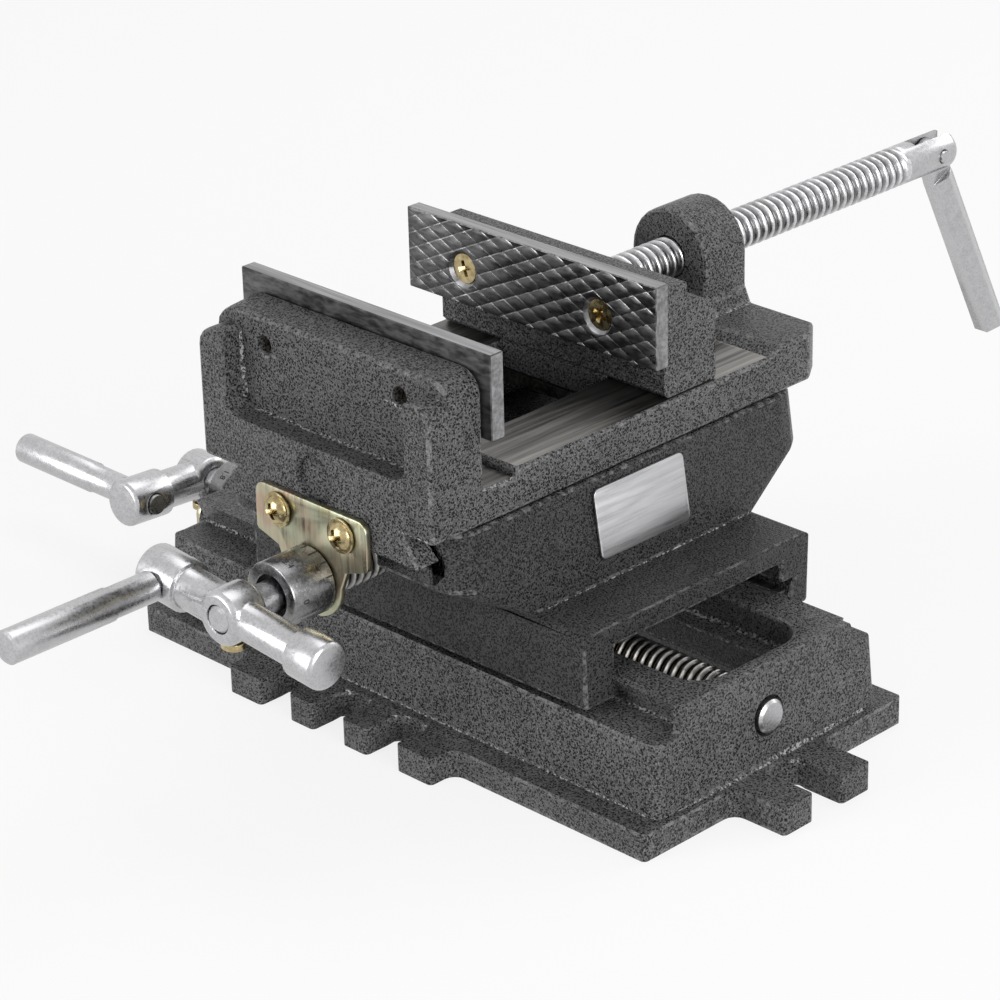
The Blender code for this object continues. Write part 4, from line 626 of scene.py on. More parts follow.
def rounded_mesh(bm, name, width, materials):
    """Rounds the sharp edges that have room for it, and then the others by a narrow, safe width."""
    bm.edges.ensure_lookup_table()
    weight = bm.edges.layers.float.new("bevel_weight_edge")
    sharp = set(sharp_edges(bm, False)) | set(sharp_edges(bm, True))
    for edge in sharp:
        edge[weight] = 1.0 if ROOM_SHARE * room_at(edge, sharp) > width else 0.0
    print(name, round(sum(edge[weight] for edge in sharp)), "of", len(sharp), "edges rounded")
    shape = new_object(name, bm, [*materials, None])
    for title, method, wide, segments in (("rounding", "WEIGHT", width, ROUND_SEGMENTS),
                                          ("breaking", "ANGLE", NARROW_EDGE, 1)):
        bevel = shape.modifiers.new(title, "BEVEL")
        bevel.limit_method = method
        bevel.angle_limit = NARROW_ANGLE
        bevel.width = wide
        bevel.segments = segments
        bevel.use_clamp_overlap = title == "breaking"
        bevel.material = len(materials)
    mesh = plain_mesh(shape)
    bpy.data.objects.remove(shape)
    mark_rounded_faces(mesh, len(materials))
    mesh.materials.pop(index=len(materials))
    return new_in_scene(name, mesh)


def mark_rounded_faces(mesh, index):
    """The bevel's faces carry their own material index; outer ones mark rubbed edges, hollow ones fillets.
    """
    bm = bmesh.new()
    bm.from_mesh(mesh)
    mark = bm.loops.layers.float.new("rounded_edge")
    fillet = bm.loops.layers.float.new("rounded_fillet")
    for face in bm.faces:
        if face.material_index == index:
            shared = [edge for edge in face.edges if len(edge.link_faces) == 2]
            outward = sum(edge.calc_face_angle_signed(0) for edge in shared) > 0
            for loop in face.loops:
                loop[mark], loop[fillet] = float(outward), float(not outward)
            face.material_index = 0
    bm.to_mesh(mesh)
    bm.free()


def rounded_piece(node, name, width, materials=None, machined=None, change=None):
    bm = clean_copy(node)
    if change:
        bm = change(bm)
    if machined:
        for face in bm.faces:
            face.material_index = machined(face)
    obj = rounded_mesh(bm, name, width, materials or [FINISH_OF_SLOT[SLOT_OF_NODE[node]]])
    smooth_by_angle(obj, PIECE_ANGLE)
    print(name, len(obj.data.polygons), "faces")
    return stand_in(obj, node)


# %% [markdown]
# Turned pieces
#
# Handles, dials and feed screws come off a lathe, so each is one outline turned round an axis. The outline
# is read back from the frame's mesh, as the radius at each place along the axis, and turned again with
# many more sides, so that its rim is round in a close view.

# %% Outlines of turned pieces
TURNED_SIDES = 96
SMALL_SIDES = 48
SAME_RADIUS = 0.00015


def axis_middle(node, along):
    low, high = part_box(node)
    middle = (low + high) / 2
    middle[along] = 0
    return middle


def outline_of(node, along):
    """(place along the axis, radius) of each ring of the node's mesh, in order along its outer surface."""
    middle = axis_middle(node, along)
    rings = {}
    for vertex in frame["nodes"][node].data.vertices:
        off = vertex.co - middle
        place = off[along]
        off[along] = 0
        rings.setdefault(round(place, 5), set()).add(round(off.length, 4))
    outline, last = [], 0.0
    for place in sorted(rings):
        radii = sorted(rings[place], key=lambda radius: abs(radius - last))
        kept = [radii[0]]
        for radius in radii[1:]:
            if abs(radius - kept[-1]) > SAME_RADIUS:
                kept.append(radius)
        outline.extend((place, radius) for radius in kept)
        last = kept[-1]
    return outline


def lathe(outline, middle, along, closed=False, sides=TURNED_SIDES):
    """A turned mesh. An open outline is capped at both ends; a closed one comes back to its start."""
    bm = bmesh.new()
    across, up = (along + 1) % 3, (along + 2) % 3
    rings = []
    for place, radius in outline:
        ring = []
        for step in range(sides):
            angle = math.tau * step / sides
            point = middle.copy()
            point[along] = place
            point[across] += radius * math.cos(angle)
            point[up] += radius * math.sin(angle)
            ring.append(bm.verts.new(point))
        rings.append(ring)
    pairs = list(zip(rings, rings[1:]))
    if closed:
        pairs.append((rings[-1], rings[0]))
    for low, high in pairs:
        for step in range(sides):
            after = (step + 1) % sides
            bm.faces.new((low[step], low[after], high[after], high[step]))
    if not closed:
        bm.faces.new(rings[0])
        bm.faces.new(rings[-1])
    bmesh.ops.recalc_face_normals(bm, faces=bm.faces)
    return bm


# %% Castings
CAST_EDGE = 0.0011
RAIL_OVER = 0.02
RAIL_UNDER = 0.015
RAIL_AREA = 0.00003
LUG_LENGTH = 0.03
body_low, body_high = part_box("vise_body")
rail_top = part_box("movable_jaw")[0].z
fixed_plate_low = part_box("fixed_jaw_plate")[0]


def rail_faces(face):
    """1 on the machined tops of the vise body's rails, found by place and direction, and 0 elsewhere."""
    middle = face.calc_center_median()
    level = max(body_low.z, rail_top - RAIL_UNDER) < middle.z < rail_top + RAIL_OVER
    behind = fixed_plate_low.y < middle.y < body_high.y - LUG_LENGTH
    return int(face.normal.z > 0.9 and level and behind and face.calc_area() > RAIL_AREA)


PLUG_RADIUS = 0.0073
PLUG_DEPTH = 0.0018
PLUG_ABOVE = 0.0290
PLUG_OVERRUN = 0.0020


def with_core_plug(bm):
    """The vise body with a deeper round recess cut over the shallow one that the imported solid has."""
    blank = new_object("vise_blank", bm, [])
    middle = axis_middle("upper_dial", 1) + Vector((0, 0, PLUG_ABOVE))
    outline = [(body_low.y - PLUG_OVERRUN, PLUG_RADIUS), (body_low.y + PLUG_DEPTH, PLUG_RADIUS)]
    cutter = new_object("plug_cutter", lathe(outline, middle, 1, sides=SMALL_SIDES), [])
    cut = blank.modifiers.new("plug", "BOOLEAN")
    cut.operation = "DIFFERENCE"
    cut.object = cutter
    bpy.context.view_layer.update()
    mesh = plain_mesh(blank)
    for spent in (blank, cutter):
        bpy.data.objects.remove(spent)
    made = bmesh.new()
    made.from_mesh(mesh)
    return made


rounded_piece("base_casting", "base_iron", CAST_EDGE)
rounded_piece("saddle_casting", "saddle_iron", CAST_EDGE, [SHADED_SADDLE_PAINT])
rounded_piece("movable_jaw", "jaw_iron", CAST_EDGE)
rounded_piece("vise_body", "vise_iron", CAST_EDGE, [HAMMER_PAINT, MACHINED_IRON], rail_faces,
              with_core_plug)

# %% Cranks, handle and pressed plates
CRANK_EDGE = 0.0004
HANDLE_EDGE = 0.0003
HUB_SCREW_EDGE = 0.0002
SHEET_EDGE = 0.0004
LABEL_EDGE = 0.0003
for nodes, ending, width in ((("lower_crank", "upper_crank"), "_steel", CRANK_EDGE),
                             (("clamp_handle", "clamp_handle_pin"), "_steel", HANDLE_EDGE),
                             (("lower_hub_screw", "upper_hub_screw"), "_steel", HUB_SCREW_EDGE),
                             (("lower_bearing_plate", "upper_bearing_plate"), "_sheet", SHEET_EDGE)):
    for node in nodes:
        rounded_piece(node, node + ending, width)
rounded_piece("label_plate", "label_sheet", LABEL_EDGE)

# %% Riveted handles
for node, along in (("lower_handle", 0), ("upper_handle", 1)):
    outline = outline_of(node, along)
    handle = new_object(node + "_turned", lathe(outline, axis_middle(node, along), along), [BRIGHT_ZINC])
    smooth_by_angle(handle)
    stand_in(handle, node)
    print(node, len(outline), "rings")

# %% [markdown]
# Threads
#
# The three screws carry rolled threads. A thread is a rule: the radius at each point depends only on how
# far the point is along the axis and round it. So one Geometry Nodes tree makes all three, from a finely
# divided cylinder whose points are moved inward by that rule. The same rule is kept on the points as an
# attribute, so that the finish can be darker at the root: painted shade in the groove, with some oil and
# dust. At its last turns the thread runs out.

# %% Geometry trees
RINGS_PER_PITCH = 10
THREAD_SIDES = 40


class Tree:
    """A geometry tree under construction, with named inputs."""

    def __init__(self, name, inputs):
        self.tree = bpy.data.node_groups.new(name, "GeometryNodeTree")
        self.tree.interface.new_socket("Geometry", in_out="INPUT", socket_type="NodeSocketGeometry")
        self.sockets = {}
        for label, kind, value in inputs:
            socket = self.tree.interface.new_socket(label, in_out="INPUT", socket_type="NodeSocket" + kind)
            if value is not None:
                socket.default_value = value
            self.sockets[label] = socket.identifier
        self.tree.interface.new_socket("Geometry", in_out="OUTPUT", socket_type="NodeSocketGeometry")
        self.start = self.tree.nodes.new("NodeGroupInput")
        self.end = self.tree.nodes.new("NodeGroupOutput")

    def node(self, kind, links=None, **settings):
        made = self.tree.nodes.new(kind)
        for label, value in settings.items():
            setattr(made, label, value)
        for slot, value in (links or {}).items():
            if hasattr(value, "links"):
                self.tree.links.new(value, made.inputs[slot])
            else:
                made.inputs[slot].default_value = value
        return made

    def sum(self, operation, first, second=0.0):
        return self.node("ShaderNodeMath", {0: first, 1: second}, operation=operation).outputs[0]

    def given(self, label):
        return self.start.outputs[label]

    def close(self, geometry):
        real = self.node("GeometryNodeRealizeInstances", {0: geometry})
        painted = self.node("GeometryNodeSetMaterial",
                            {"Geometry": real.outputs[0], "Material": self.given("Finish")})
        self.tree.links.new(painted.outputs[0], self.end.inputs[0])
        return self


def run_tree(name, tree, values, body, replaced=()):
    """Runs a tree on an empty mesh, keeps the result as a plain mesh and lets it ride on a body."""
    carrier = new_in_scene(name + "_carrier", bpy.data.meshes.new(name))
    modifier = carrier.modifiers.new(name, "NODES")
    modifier.node_group = tree.tree
    for label, value in values.items():
        modifier[tree.sockets[label]] = value
    mesh = plain_mesh(carrier)
    bpy.data.objects.remove(carrier)
    mesh.name = name
    obj = new_in_scene(name, mesh)
    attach(obj, body)
    if replaced:
        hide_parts(*replaced)
    print(name, len(mesh.polygons), "faces")
    return obj


# %% Thread tree


def thread_tree():
    made = Tree("rolled_thread", [("Radius", "Float", 0.006), ("Depth", "Float", 0.0008),
                                  ("Length", "Float", 0.1), ("Pitch", "Float", 0.0025),
                                  ("Crest", "Float", 0.3), ("Run out", "Float", 0.001),
                                  ("Turn", "Vector", (0, 0, 0)), ("Middle", "Vector", (0, 0, 0)),
                                  ("Finish", "Material", None)])
    length, pitch = made.given("Length"), made.given("Pitch")
    rings = made.sum("MULTIPLY", made.sum("DIVIDE", length, pitch), RINGS_PER_PITCH)
    whole = made.node("FunctionNodeFloatToInt", {0: rings}).outputs[0]
    cylinder = made.node("GeometryNodeMeshCylinder", {"Vertices": THREAD_SIDES, "Side Segments": whole,
                                                      "Radius": made.given("Radius"), "Depth": length})
    place = made.node("ShaderNodeSeparateXYZ", {0: made.node("GeometryNodeInputPosition").outputs[0]})
    angle = made.sum("ARCTAN2", place.outputs["Y"], place.outputs["X"])
    lead = made.sum("DIVIDE", place.outputs["Z"], pitch)
    phase = made.sum("FRACT", made.sum("SUBTRACT", lead, made.sum("DIVIDE", angle, math.tau)))
    wave = made.sum("ABSOLUTE", made.sum("SUBTRACT", made.sum("MULTIPLY", phase, 2.0), 1.0))
    groove = made.node("ShaderNodeMapRange", {"Value": wave, "From Min": made.given("Crest"),
                                              "From Max": made.sum("SUBTRACT", 1.0, made.given("Crest"))})
    left = made.sum("SUBTRACT", made.sum("MULTIPLY", length, 0.5), place.outputs["Z"])
    fading = made.node("ShaderNodeMapRange", {"Value": left, "From Min": 0.0,
                                              "From Max": made.given("Run out")})
    root = made.sum("MULTIPLY", groove.outputs[0], fading.outputs[0])
    sink = made.sum("DIVIDE", made.given("Depth"), made.given("Radius"))
    share = made.sum("SUBTRACT", 1.0, made.sum("MULTIPLY", root, sink))
    moved = made.node("ShaderNodeCombineXYZ", {"X": made.sum("MULTIPLY", place.outputs["X"], share),
                                               "Y": made.sum("MULTIPLY", place.outputs["Y"], share),
                                               "Z": place.outputs["Z"]})
    marked = made.node("GeometryNodeStoreNamedAttribute",
                       {"Geometry": cylinder.outputs["Mesh"], "Name": "thread_root", "Value": root})
    cut = made.node("GeometryNodeSetPosition", {"Geometry": marked.outputs[0], "Position": moved.outputs[0]})
    turned = made.node("GeometryNodeTransform", {"Geometry": cut.outputs[0], "Rotation": made.given("Turn"),
                                                 "Translation": made.given("Middle")})
    return made.close(turned.outputs[0])


THREAD = thread_tree()
TO_X = (0, math.pi / 2, 0)
TO_Y = (-math.pi / 2, 0, 0)
THREAD_ANGLE = 60
RADIUS_SLACK = 0.0001


def add_thread(node, along, radius, start, end, pitch, depth, crest, run_out, finish):
    middle = axis_middle(node, along)
    middle[along] = (start + end) / 2
    thread = run_tree(node + "_thread", THREAD, {
        "Radius": radius, "Depth": depth, "Length": end - start, "Pitch": pitch, "Crest": crest,
        "Run out": run_out, "Turn": TO_X if along == 0 else TO_Y, "Middle": tuple(middle),
        "Finish": finish}, BODY_OF_NODE[node])
    smooth_by_angle(thread, THREAD_ANGLE)


# %% [markdown]
# Feed screws
#
# A feed screw is bright and smooth where it passes its bearing plate, its dial and its crank, and threaded
# behind them. The smooth outline is turned with a thin core where the thread lies over it.

# %% Feed screws
FEED_PITCH = 0.0030
FEED_DEPTH = 0.0010
FEED_CREST = 0.3
FEED_RUN_OUT = 0.0005
CORE_CLEARANCE = 0.0003


def feed_screw(node, along):
    outline = outline_of(node, along)
    radius = max(item[1] for item in outline)
    threaded = [place for place, ring in outline if ring > radius - RADIUS_SLACK]
    start, end = min(threaded), max(threaded)
    core = radius - FEED_DEPTH - CORE_CLEARANCE
    smooth = [(place, ring) for place, ring in outline if place <= start and ring < radius - RADIUS_SLACK]
    smooth += [(start, core), (end, core)]
    smooth += [(place, ring) for place, ring in outline if place >= end and ring < radius - RADIUS_SLACK]
    shank = new_object(node + "_shank", lathe(smooth, axis_middle(node, along), along), [BRIGHT_ZINC])
    smooth_by_angle(shank)
    stand_in(shank, node)
    add_thread(node, along, radius, start, end, FEED_PITCH, FEED_DEPTH, FEED_CREST, FEED_RUN_OUT,
               DARK_THREAD)


feed_screw("lower_feed_screw", 0)
feed_screw("upper_feed_screw", 1)

# %% [markdown]
# Clamp screw
#
# The clamp screw's thread fades out before its slotted end, where the handle folds. Its body is not turned
# all over, so the rounded copy is cut across at both ends of the thread, and the thread bridges the two
# pieces.

# %% Clamp screw
CLAMP_PITCH = 0.0034
CLAMP_DEPTH = 0.0012
CLAMP_RADIUS = 0.00635
CLAMP_CREST = 0.28
CLAMP_RUN_OUT = 0.0045
CLAMP_PLAIN_END = 0.0240
BRIDGE = 0.0003
CUT_SLACK = 0.000001


def clamp_screw_ends(node, start, end):
    """The screw without its threaded stretch: both ends as closed pieces of one mesh."""
    bm = clean_copy(node)
    for place in (start, end):
        everything = list(bm.verts) + list(bm.edges) + list(bm.faces)
        bmesh.ops.bisect_plane(bm, geom=everything, dist=CUT_SLACK, plane_co=(0, place, 0),
                               plane_no=(0, 1, 0))
    between = [face for face in bm.faces if start < face.calc_center_median().y < end]
    bmesh.ops.delete(bm, geom=between, context="FACES")
    bmesh.ops.holes_fill(bm, edges=[edge for edge in bm.edges if edge.is_boundary])
    ends = rounded_mesh(bm, node + "_ends", HANDLE_EDGE, [BRIGHT_ZINC])
    smooth_by_angle(ends)
    return stand_in(ends, node)


full_width = [place for place, ring in outline_of("clamp_screw", 1) if ring > CLAMP_RADIUS - RADIUS_SLACK]
thread_start = min(full_width) + BRIDGE
thread_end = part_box("clamp_screw")[1].y - CLAMP_PLAIN_END
clamp_screw_ends("clamp_screw", thread_start, thread_end)
add_thread("clamp_screw", 1, CLAMP_RADIUS, thread_start - BRIDGE, thread_end + BRIDGE, CLAMP_PITCH,
           CLAMP_DEPTH, CLAMP_CREST, CLAMP_RUN_OUT, THREAD_STEEL)

# %% [markdown]
# Hatched jaw plates
#
# A jaw plate is ground flat and then cut with two rows of shallow V grooves that cross, so that it grips.
# The grooves are cut into the mesh: the face is split along each groove's two edges and its middle, and
# the middle is pushed in. The walls of a groove are fresh metal and brighter than the face.

# %% Jaw plates
HATCH_WIDTH = 0.0103
HATCH_HEIGHT = 0.0049
HATCH_PHASE = -0.0016
GROOVE_HALF = 0.00020
GROOVE_DEPTH = 0.00020
PLATE_EDGE = 0.0003
SHORTEST_EDGE = 0.003
ON_FACE = 0.00005
ON_GROOVE = 0.000004
PLATE_ANGLE = 20


def hatch_grooves(low, high):
    """A point and a normal, in the plate's plane, for each groove that crosses its face."""
    slope = HATCH_HEIGHT / HATCH_WIDTH
    middle = (low + high) / 2
    half = (high - low) / 2
    count = math.ceil((half.x * slope + half.z) / HATCH_HEIGHT)
    grooves = []
    for lean in (1, -1):
        for step in range(-count, count + 1):
            point = Vector((middle.x, 0, middle.z + HATCH_PHASE + step * HATCH_HEIGHT))
            grooves.append((point, Vector((-lean * slope, 0, 1)).normalized()))
    return grooves


def sort_by_place(bm):
    """Puts points and faces in one order, because the cuts leave them in another on each run."""
    for items, place in ((bm.verts, lambda vertex: tuple(vertex.co)),
                         (bm.faces, lambda face: tuple(face.calc_center_median()))):
        for index, item in enumerate(sorted(items, key=place)):
            item.index = index
        items.sort()


def hatched_plate(node, side, name):
    """The plate with grooves on its face towards side, -1 or 1 along Y."""
    low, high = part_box(node)
    front = low.y if side < 0 else high.y
    bm = clean_copy(node)
    for face in bm.faces:
        face.material_index = 0 if abs(face.normal.y) > 0.9 else 1
    outer = [edge for edge in sharp_edges(bm, False) if edge.calc_length() > SHORTEST_EDGE]
    bmesh.ops.bevel(bm, geom=outer, offset=PLATE_EDGE, offset_type="OFFSET", segments=1, profile=0.5,
                    affect="EDGES")
    grooves = hatch_grooves(low, high)
    for point, normal in grooves:
        for offset in (-GROOVE_HALF, 0, GROOVE_HALF):
            faces = [face for face in bm.faces if face.normal.y * side > 0.99
                     and abs(face.calc_center_median().y - front) < ON_FACE]
            parts = {item for face in faces for item in (*face.edges, *face.verts)}
            bmesh.ops.bisect_plane(bm, geom=[*parts, *faces], dist=CUT_SLACK,
                                   plane_co=point + normal * offset, plane_no=normal)
    sunk = set()
    for vertex in bm.verts:
        if abs(vertex.co.y - front) < ON_FACE:
            if any(abs((vertex.co - point).dot(normal)) < ON_GROOVE for point, normal in grooves):
                sunk.add(vertex)
    for vertex in sunk:
        vertex.co.y -= side * GROOVE_DEPTH
    for face in bm.faces:
        near = abs(face.calc_center_median().y - front) < GROOVE_DEPTH
        if near and abs(face.normal.y) > 0.3 and any(vert in sunk for vert in face.verts):
            face.material_index = 2
    sort_by_place(bm)
    plate = new_object(name, bm, [JAW_STEEL, JAW_EDGE, CUT_STEEL])
    smooth_by_angle(plate, PLATE_ANGLE)
    print(name, len(grooves), "grooves,", len(plate.data.polygons), "faces")
    return stand_in(plate, node)


hatched_plate("movable_jaw_plate", -1, "movable_plate_hatched")
hatched_plate("fixed_jaw_plate", 1, "fixed_plate_hatched")

# %% [markdown]
# Cross recessed screws
#
# Four screws with countersunk heads hold the jaw plates, and two with domed, flanged heads hold each
# bearing plate. A head is turned once and its cross recess is cut out of it with a Boolean. A Geometry
# Nodes tree then sets a copy of the head at each of two places, each copy turned by its own angle from a
# seed.

# %% Screw head meshes
HEAD_ANGLE = 32
COUNTERSINK = 0.0007
DOME_HEIGHT = 0.0030


def cross_wedge(name, half, width, depth, turned):
    """One arm of the cross recess, from above the head down to a narrower end."""
    bm = bmesh.new()
    corners = []
    for level, shrink in ((0.0006, 1.12), (-depth, 0.55)):
        for x, y in ((-1, -1), (1, -1), (1, 1), (-1, 1)):
            place = (x * half * shrink, y * width * shrink / 2)
            corners.append(bm.verts.new((*(place[::-1] if turned else place), level)))
    for face in ((0, 1, 2, 3), (4, 5, 6, 7), (0, 1, 5, 4), (1, 2, 6, 5), (2, 3, 7, 6), (3, 0, 4, 7)):
        bm.faces.new([corners[corner] for corner in face])
    bmesh.ops.recalc_face_normals(bm, faces=bm.faces)
    return new_object(name, bm, [])


def screw_mesh(name, outline, top, recess):
    """A turned screw along Z whose head is highest at top, with a cross recess in it."""
    head = new_object(name + "_blank", lathe(outline, Vector(), 2, sides=SMALL_SIDES), [])
    wedges = []
    for turned in (False, True):
        wedge = cross_wedge(f"{name}_wedge_{turned}", *recess, turned)
        wedge.location.z = top
        cut = head.modifiers.new("recess", "BOOLEAN")
        cut.operation = "DIFFERENCE"
        cut.object = wedge
        wedges.append(wedge)
    bpy.context.view_layer.update()
    mesh = plain_mesh(head)
    for spent in (head, *wedges):
        bpy.data.objects.remove(spent)
    made = new_in_scene(name, mesh)
    smooth_by_angle(made, HEAD_ANGLE)
    print(name, len(mesh.polygons), "faces")
    return made


COUNTERSUNK = screw_mesh("countersunk_screw", [(-0.0124, 0.0026), (-0.0020, 0.0026), (-0.0002, 0.0046),
                                               (0.0, 0.00455), (0.00005, 0.0040), (0.0001, 0.0003)],
                         0.0001, (0.0026, 0.0014, 0.0018))
DOMED = screw_mesh("domed_screw", [(-0.0108, 0.0025), (0.0, 0.0025), (0.0, 0.0050), (0.0002, 0.00525),
                                   (0.0006, 0.00525), (0.0008, 0.0050), (0.0008, 0.0042), (0.0012, 0.0040),
                                   (0.0020, 0.0033), (0.0026, 0.0022), (0.00292, 0.0011), (0.0030, 0.0002)],
                   DOME_HEIGHT, (0.0027, 0.0014, 0.0026))

# %% Screw tree


def screw_tree():
    made = Tree("paired_screws", [("Screw", "Object", None), ("First", "Vector", (0, 0, 0)),
                                  ("Second", "Vector", (0, 0, 0)), ("Facing", "Vector", (0, 0, 0)),
                                  ("Seed", "Int", 0), ("Finish", "Material", None)])
    places = made.node("GeometryNodeMeshLine", {"Count": 2, "Start Location": made.given("First"),
                                                "Offset": made.given("Second")}, mode="END_POINTS")
    screw = made.node("GeometryNodeObjectInfo", {"Object": made.given("Screw"), "As Instance": True})
    twist = made.node("FunctionNodeRandomValue", {"Seed": made.given("Seed")}, data_type="FLOAT_VECTOR")
    twist.inputs[0].default_value = (0, 0, 0)
    twist.inputs[1].default_value = (0, 0, math.pi / 2)
    set_out = made.node("GeometryNodeInstanceOnPoints", {"Points": places.outputs[0],
                                                         "Instance": screw.outputs["Geometry"],
                                                         "Rotation": made.given("Facing")})
    turned = made.node("GeometryNodeRotateInstances", {"Instances": set_out.outputs[0],
                                                       "Rotation": twist.outputs[0]})
    return made.close(turned.outputs[0])


SCREWS = screw_tree()


def pair_of_screws(name, nodes, screw, along, side, sunk, seed):
    """Two screws with their heads facing side along an axis, at the places of two nodes."""
    places = []
    for node in nodes:
        low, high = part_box(node)
        place = (low + high) / 2
        place[along] = (high[along] if side > 0 else low[along]) - side * sunk
        places.append(tuple(place))
    facing = {(0, -1): (0, -math.pi / 2, 0), (1, -1): (math.pi / 2, 0, 0), (1, 1): (-math.pi / 2, 0, 0)}
    run_tree(name, SCREWS, {"Screw": screw, "First": places[0], "Second": places[1],
                            "Facing": facing[(along, side)], "Seed": seed, "Finish": BRASS_SCREW},
             BODY_OF_NODE[nodes[0]], nodes)


for name, first, second, screw, along, side, sunk, seed in (
        ("movable_jaw_screws", "movable_jaw_screw_left", "movable_jaw_screw_right", COUNTERSUNK, 1, -1,
         COUNTERSINK, 3),
        ("fixed_jaw_screws", "fixed_jaw_screw_left", "fixed_jaw_screw_right", COUNTERSUNK, 1, 1,
         COUNTERSINK, 5),
        ("upper_bearing_screws", "upper_bearing_screw_left", "upper_bearing_screw_right", DOMED, 1, -1,
         DOME_HEIGHT, 2),
        ("lower_bearing_screws", "lower_bearing_screw_front", "lower_bearing_screw_rear", DOMED, 0, -1,
         DOME_HEIGHT, 7)):
    pair_of_screws(name, (first, second), screw, along, side, sunk, seed)
for screw in (COUNTERSUNK, DOMED):
    bpy.data.objects.remove(screw)

# %% [markdown]
# Graduated dials
#
# A dial is a turned ring of zinc. Its rim is stamped with a tick for each 0.2 mm of travel, every third
# one longer, and with numbers. The ticks repeat round the axis, so a tree puts thin bars on a circle. The
# numbers are text that is made a mesh and wrapped round the rim.

# %% Dial rings
DIAL_TICKS = 15
TICK_SHORT = 0.0022
TICK_LONG = 0.0034
TICK_WIDE = 0.00040
INK_PROUD = 0.00006
TICK_INSET = 0.0005
NUMBERS = ("0", "0.6", "1.2", "1.8", "2.4")
NUMBER_SIZE = 0.0030
NUMBER_PLACE = 0.0042
LIP = 0.0002
FRONT_ROUND = 0.0007
BACK_ROUND = 0.0004


def dial_tree():
    made = Tree("dial_ticks", [("Radius", "Float", 0.01), ("Count", "Int", 40), ("Short", "Float", 0.002),
                               ("Long", "Float", 0.003), ("Wide", "Float", 0.0002), ("Edge", "Float", 0.0),
                               ("Turn", "Vector", (0, 0, 0)), ("Middle", "Vector", (0, 0, 0)),
                               ("Finish", "Material", None)])
    circle = made.node("GeometryNodeMeshCircle", {"Vertices": made.given("Count"),
                                                  "Radius": made.given("Radius")})
    index = made.node("GeometryNodeInputIndex")
    third = made.sum("LESS_THAN", made.sum("MODULO", index.outputs[0], 3.0), 0.5)
    longer = made.sum("SUBTRACT", made.given("Long"), made.given("Short"))
    tall = made.sum("ADD", made.given("Short"), made.sum("MULTIPLY", third, longer))
    size = made.node("ShaderNodeCombineXYZ", {"X": made.given("Wide"), "Y": made.given("Wide"), "Z": 1.0})
    bar = made.node("GeometryNodeMeshCube", {"Size": size.outputs[0]})
    height = made.node("ShaderNodeCombineXYZ", {"X": 1.0, "Y": 1.0, "Z": tall})
    step = made.sum("DIVIDE", math.tau, made.given("Count"))
    turn = made.node("ShaderNodeCombineXYZ", {"Z": made.sum("MULTIPLY", index.outputs[0], step)})
    bars = made.node("GeometryNodeInstanceOnPoints", {
        "Points": circle.outputs[0], "Instance": bar.outputs[0], "Rotation": turn.outputs[0],
        "Scale": height.outputs[0]})
    lift = made.node("ShaderNodeCombineXYZ", {"Z": made.sum("ADD", made.given("Edge"),
                                                            made.sum("MULTIPLY", tall, 0.5))})
    set_up = made.node("GeometryNodeTranslateInstances", {
        "Instances": bars.outputs[0], "Translation": lift.outputs[0], "Local Space": False})
    turned = made.node("GeometryNodeTransform", {"Geometry": set_up.outputs[0],
                                                 "Translation": made.given("Middle"),
                                                 "Rotation": made.given("Turn")})
    return made.close(turned.outputs[0])


DIAL = dial_tree()


def wrapped_number(text, height, radius):
    """A number as a thin mesh in the plane, then bent round Z: x becomes the angle, y the height."""
    curve = bpy.data.curves.new("number_" + text, "FONT")
    curve.body = text
    curve.size = height
    curve.align_x = "CENTER"
    curve.align_y = "CENTER"
    curve.extrude = INK_PROUD
    shape = new_in_scene("number_" + text, curve)
    bpy.context.view_layer.update()
    mesh = plain_mesh(shape)
    bpy.data.objects.remove(shape)
    for vertex in mesh.vertices:
        x, y, z = vertex.co
        reach = radius + z
        vertex.co = (reach * math.cos(x / radius), reach * math.sin(x / radius), y)
    return mesh


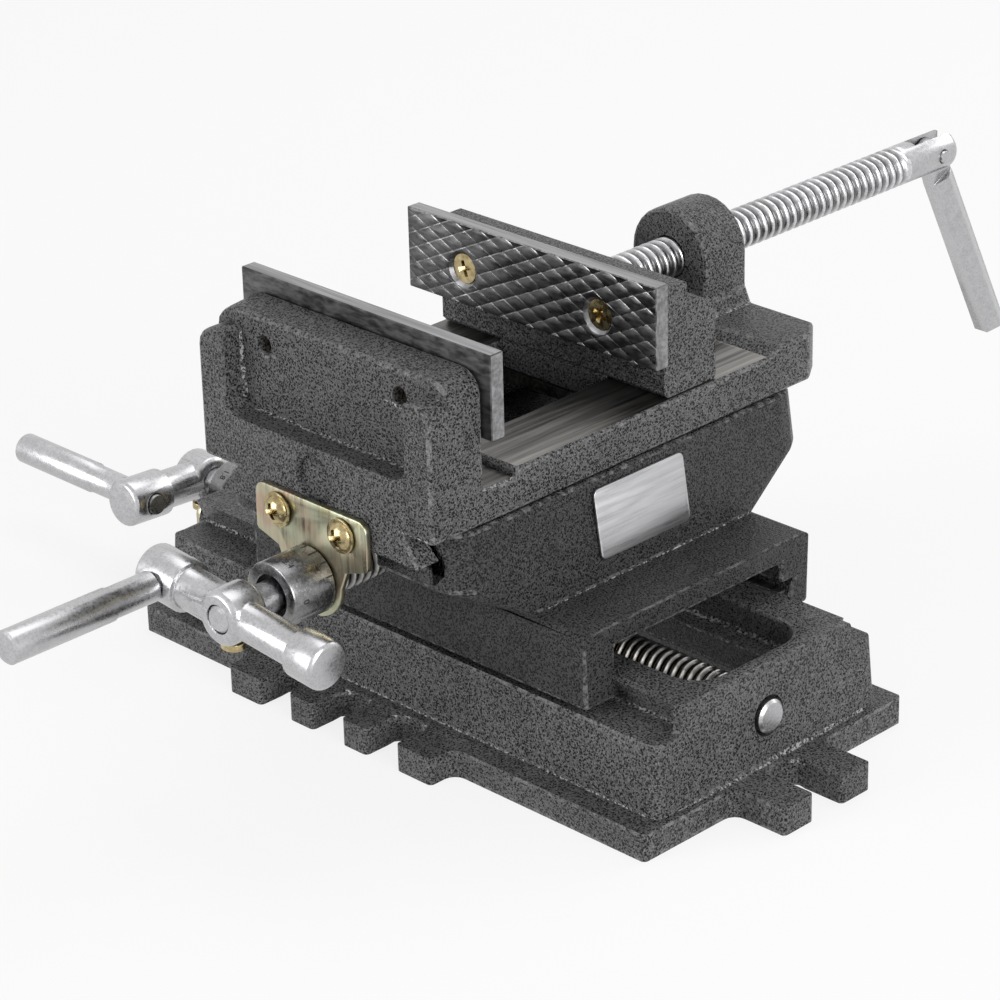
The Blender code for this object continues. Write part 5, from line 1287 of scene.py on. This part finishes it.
def dial_numbers(name, node, along, radius, level):
    """Numbers at even steps round the rim, as one mesh."""
    bm = bmesh.new()
    quarter = math.pi / 2
    face_axis = Matrix.Rotation(quarter, 4, "Y") if along == 0 else Matrix.Rotation(-quarter, 4, "X")
    middle = axis_middle(node, along)
    middle[along] = level
    for step, text in enumerate(NUMBERS):
        mesh = wrapped_number(text, NUMBER_SIZE, radius)
        turn = Matrix.Rotation(math.tau * step / len(NUMBERS), 4, "Z")
        mesh.transform(Matrix.Translation(middle) @ face_axis @ turn)
        bm.from_mesh(mesh)
    ring = new_object(name, bm, [DIAL_INK])
    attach(ring, BODY_OF_NODE[node])
    print(name, len(ring.data.polygons), "faces")


def dial_piece(node, along):
    low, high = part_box(node)
    outline = outline_of(node, along)
    print(node, [(round(place, 4), ring) for place, ring in outline])
    rim = max(ring for place, ring in outline)
    bore = min(ring for place, ring in outline)
    front, back = low[along], high[along]
    floor = min(place for place, ring in outline if ring == bore and place > front)
    cup = min(ring for place, ring in outline if ring > bore + LIP)
    profile = [(floor, bore), (floor, cup), (front + LIP, cup), (front, cup + LIP),
               (front, rim - FRONT_ROUND), (front + LIP, rim - LIP), (front + FRONT_ROUND, rim),
               (back - BACK_ROUND, rim), (back, rim - BACK_ROUND), (back, bore)]
    ring = new_object(node + "_ring", lathe(profile, axis_middle(node, along), along, True), [DIAL_ZINC])
    smooth_by_angle(ring, PIECE_ANGLE)
    stand_in(ring, node)
    middle = axis_middle(node, along)
    middle[along] = back - TICK_INSET
    ticks = run_tree(node + "_ticks", DIAL, {
        "Radius": rim - TICK_WIDE / 2 + INK_PROUD, "Count": DIAL_TICKS, "Short": TICK_SHORT,
        "Long": TICK_LONG, "Wide": TICK_WIDE, "Edge": 0.0, "Middle": tuple(middle), "Finish": DIAL_INK,
        "Turn": (0, -math.pi / 2, 0) if along == 0 else (math.pi / 2, 0, 0)}, BODY_OF_NODE[node])
    dial_numbers(node + "_numbers", node, along, rim, front + NUMBER_PLACE)


dial_piece("lower_dial", 0)
dial_piece("upper_dial", 1)
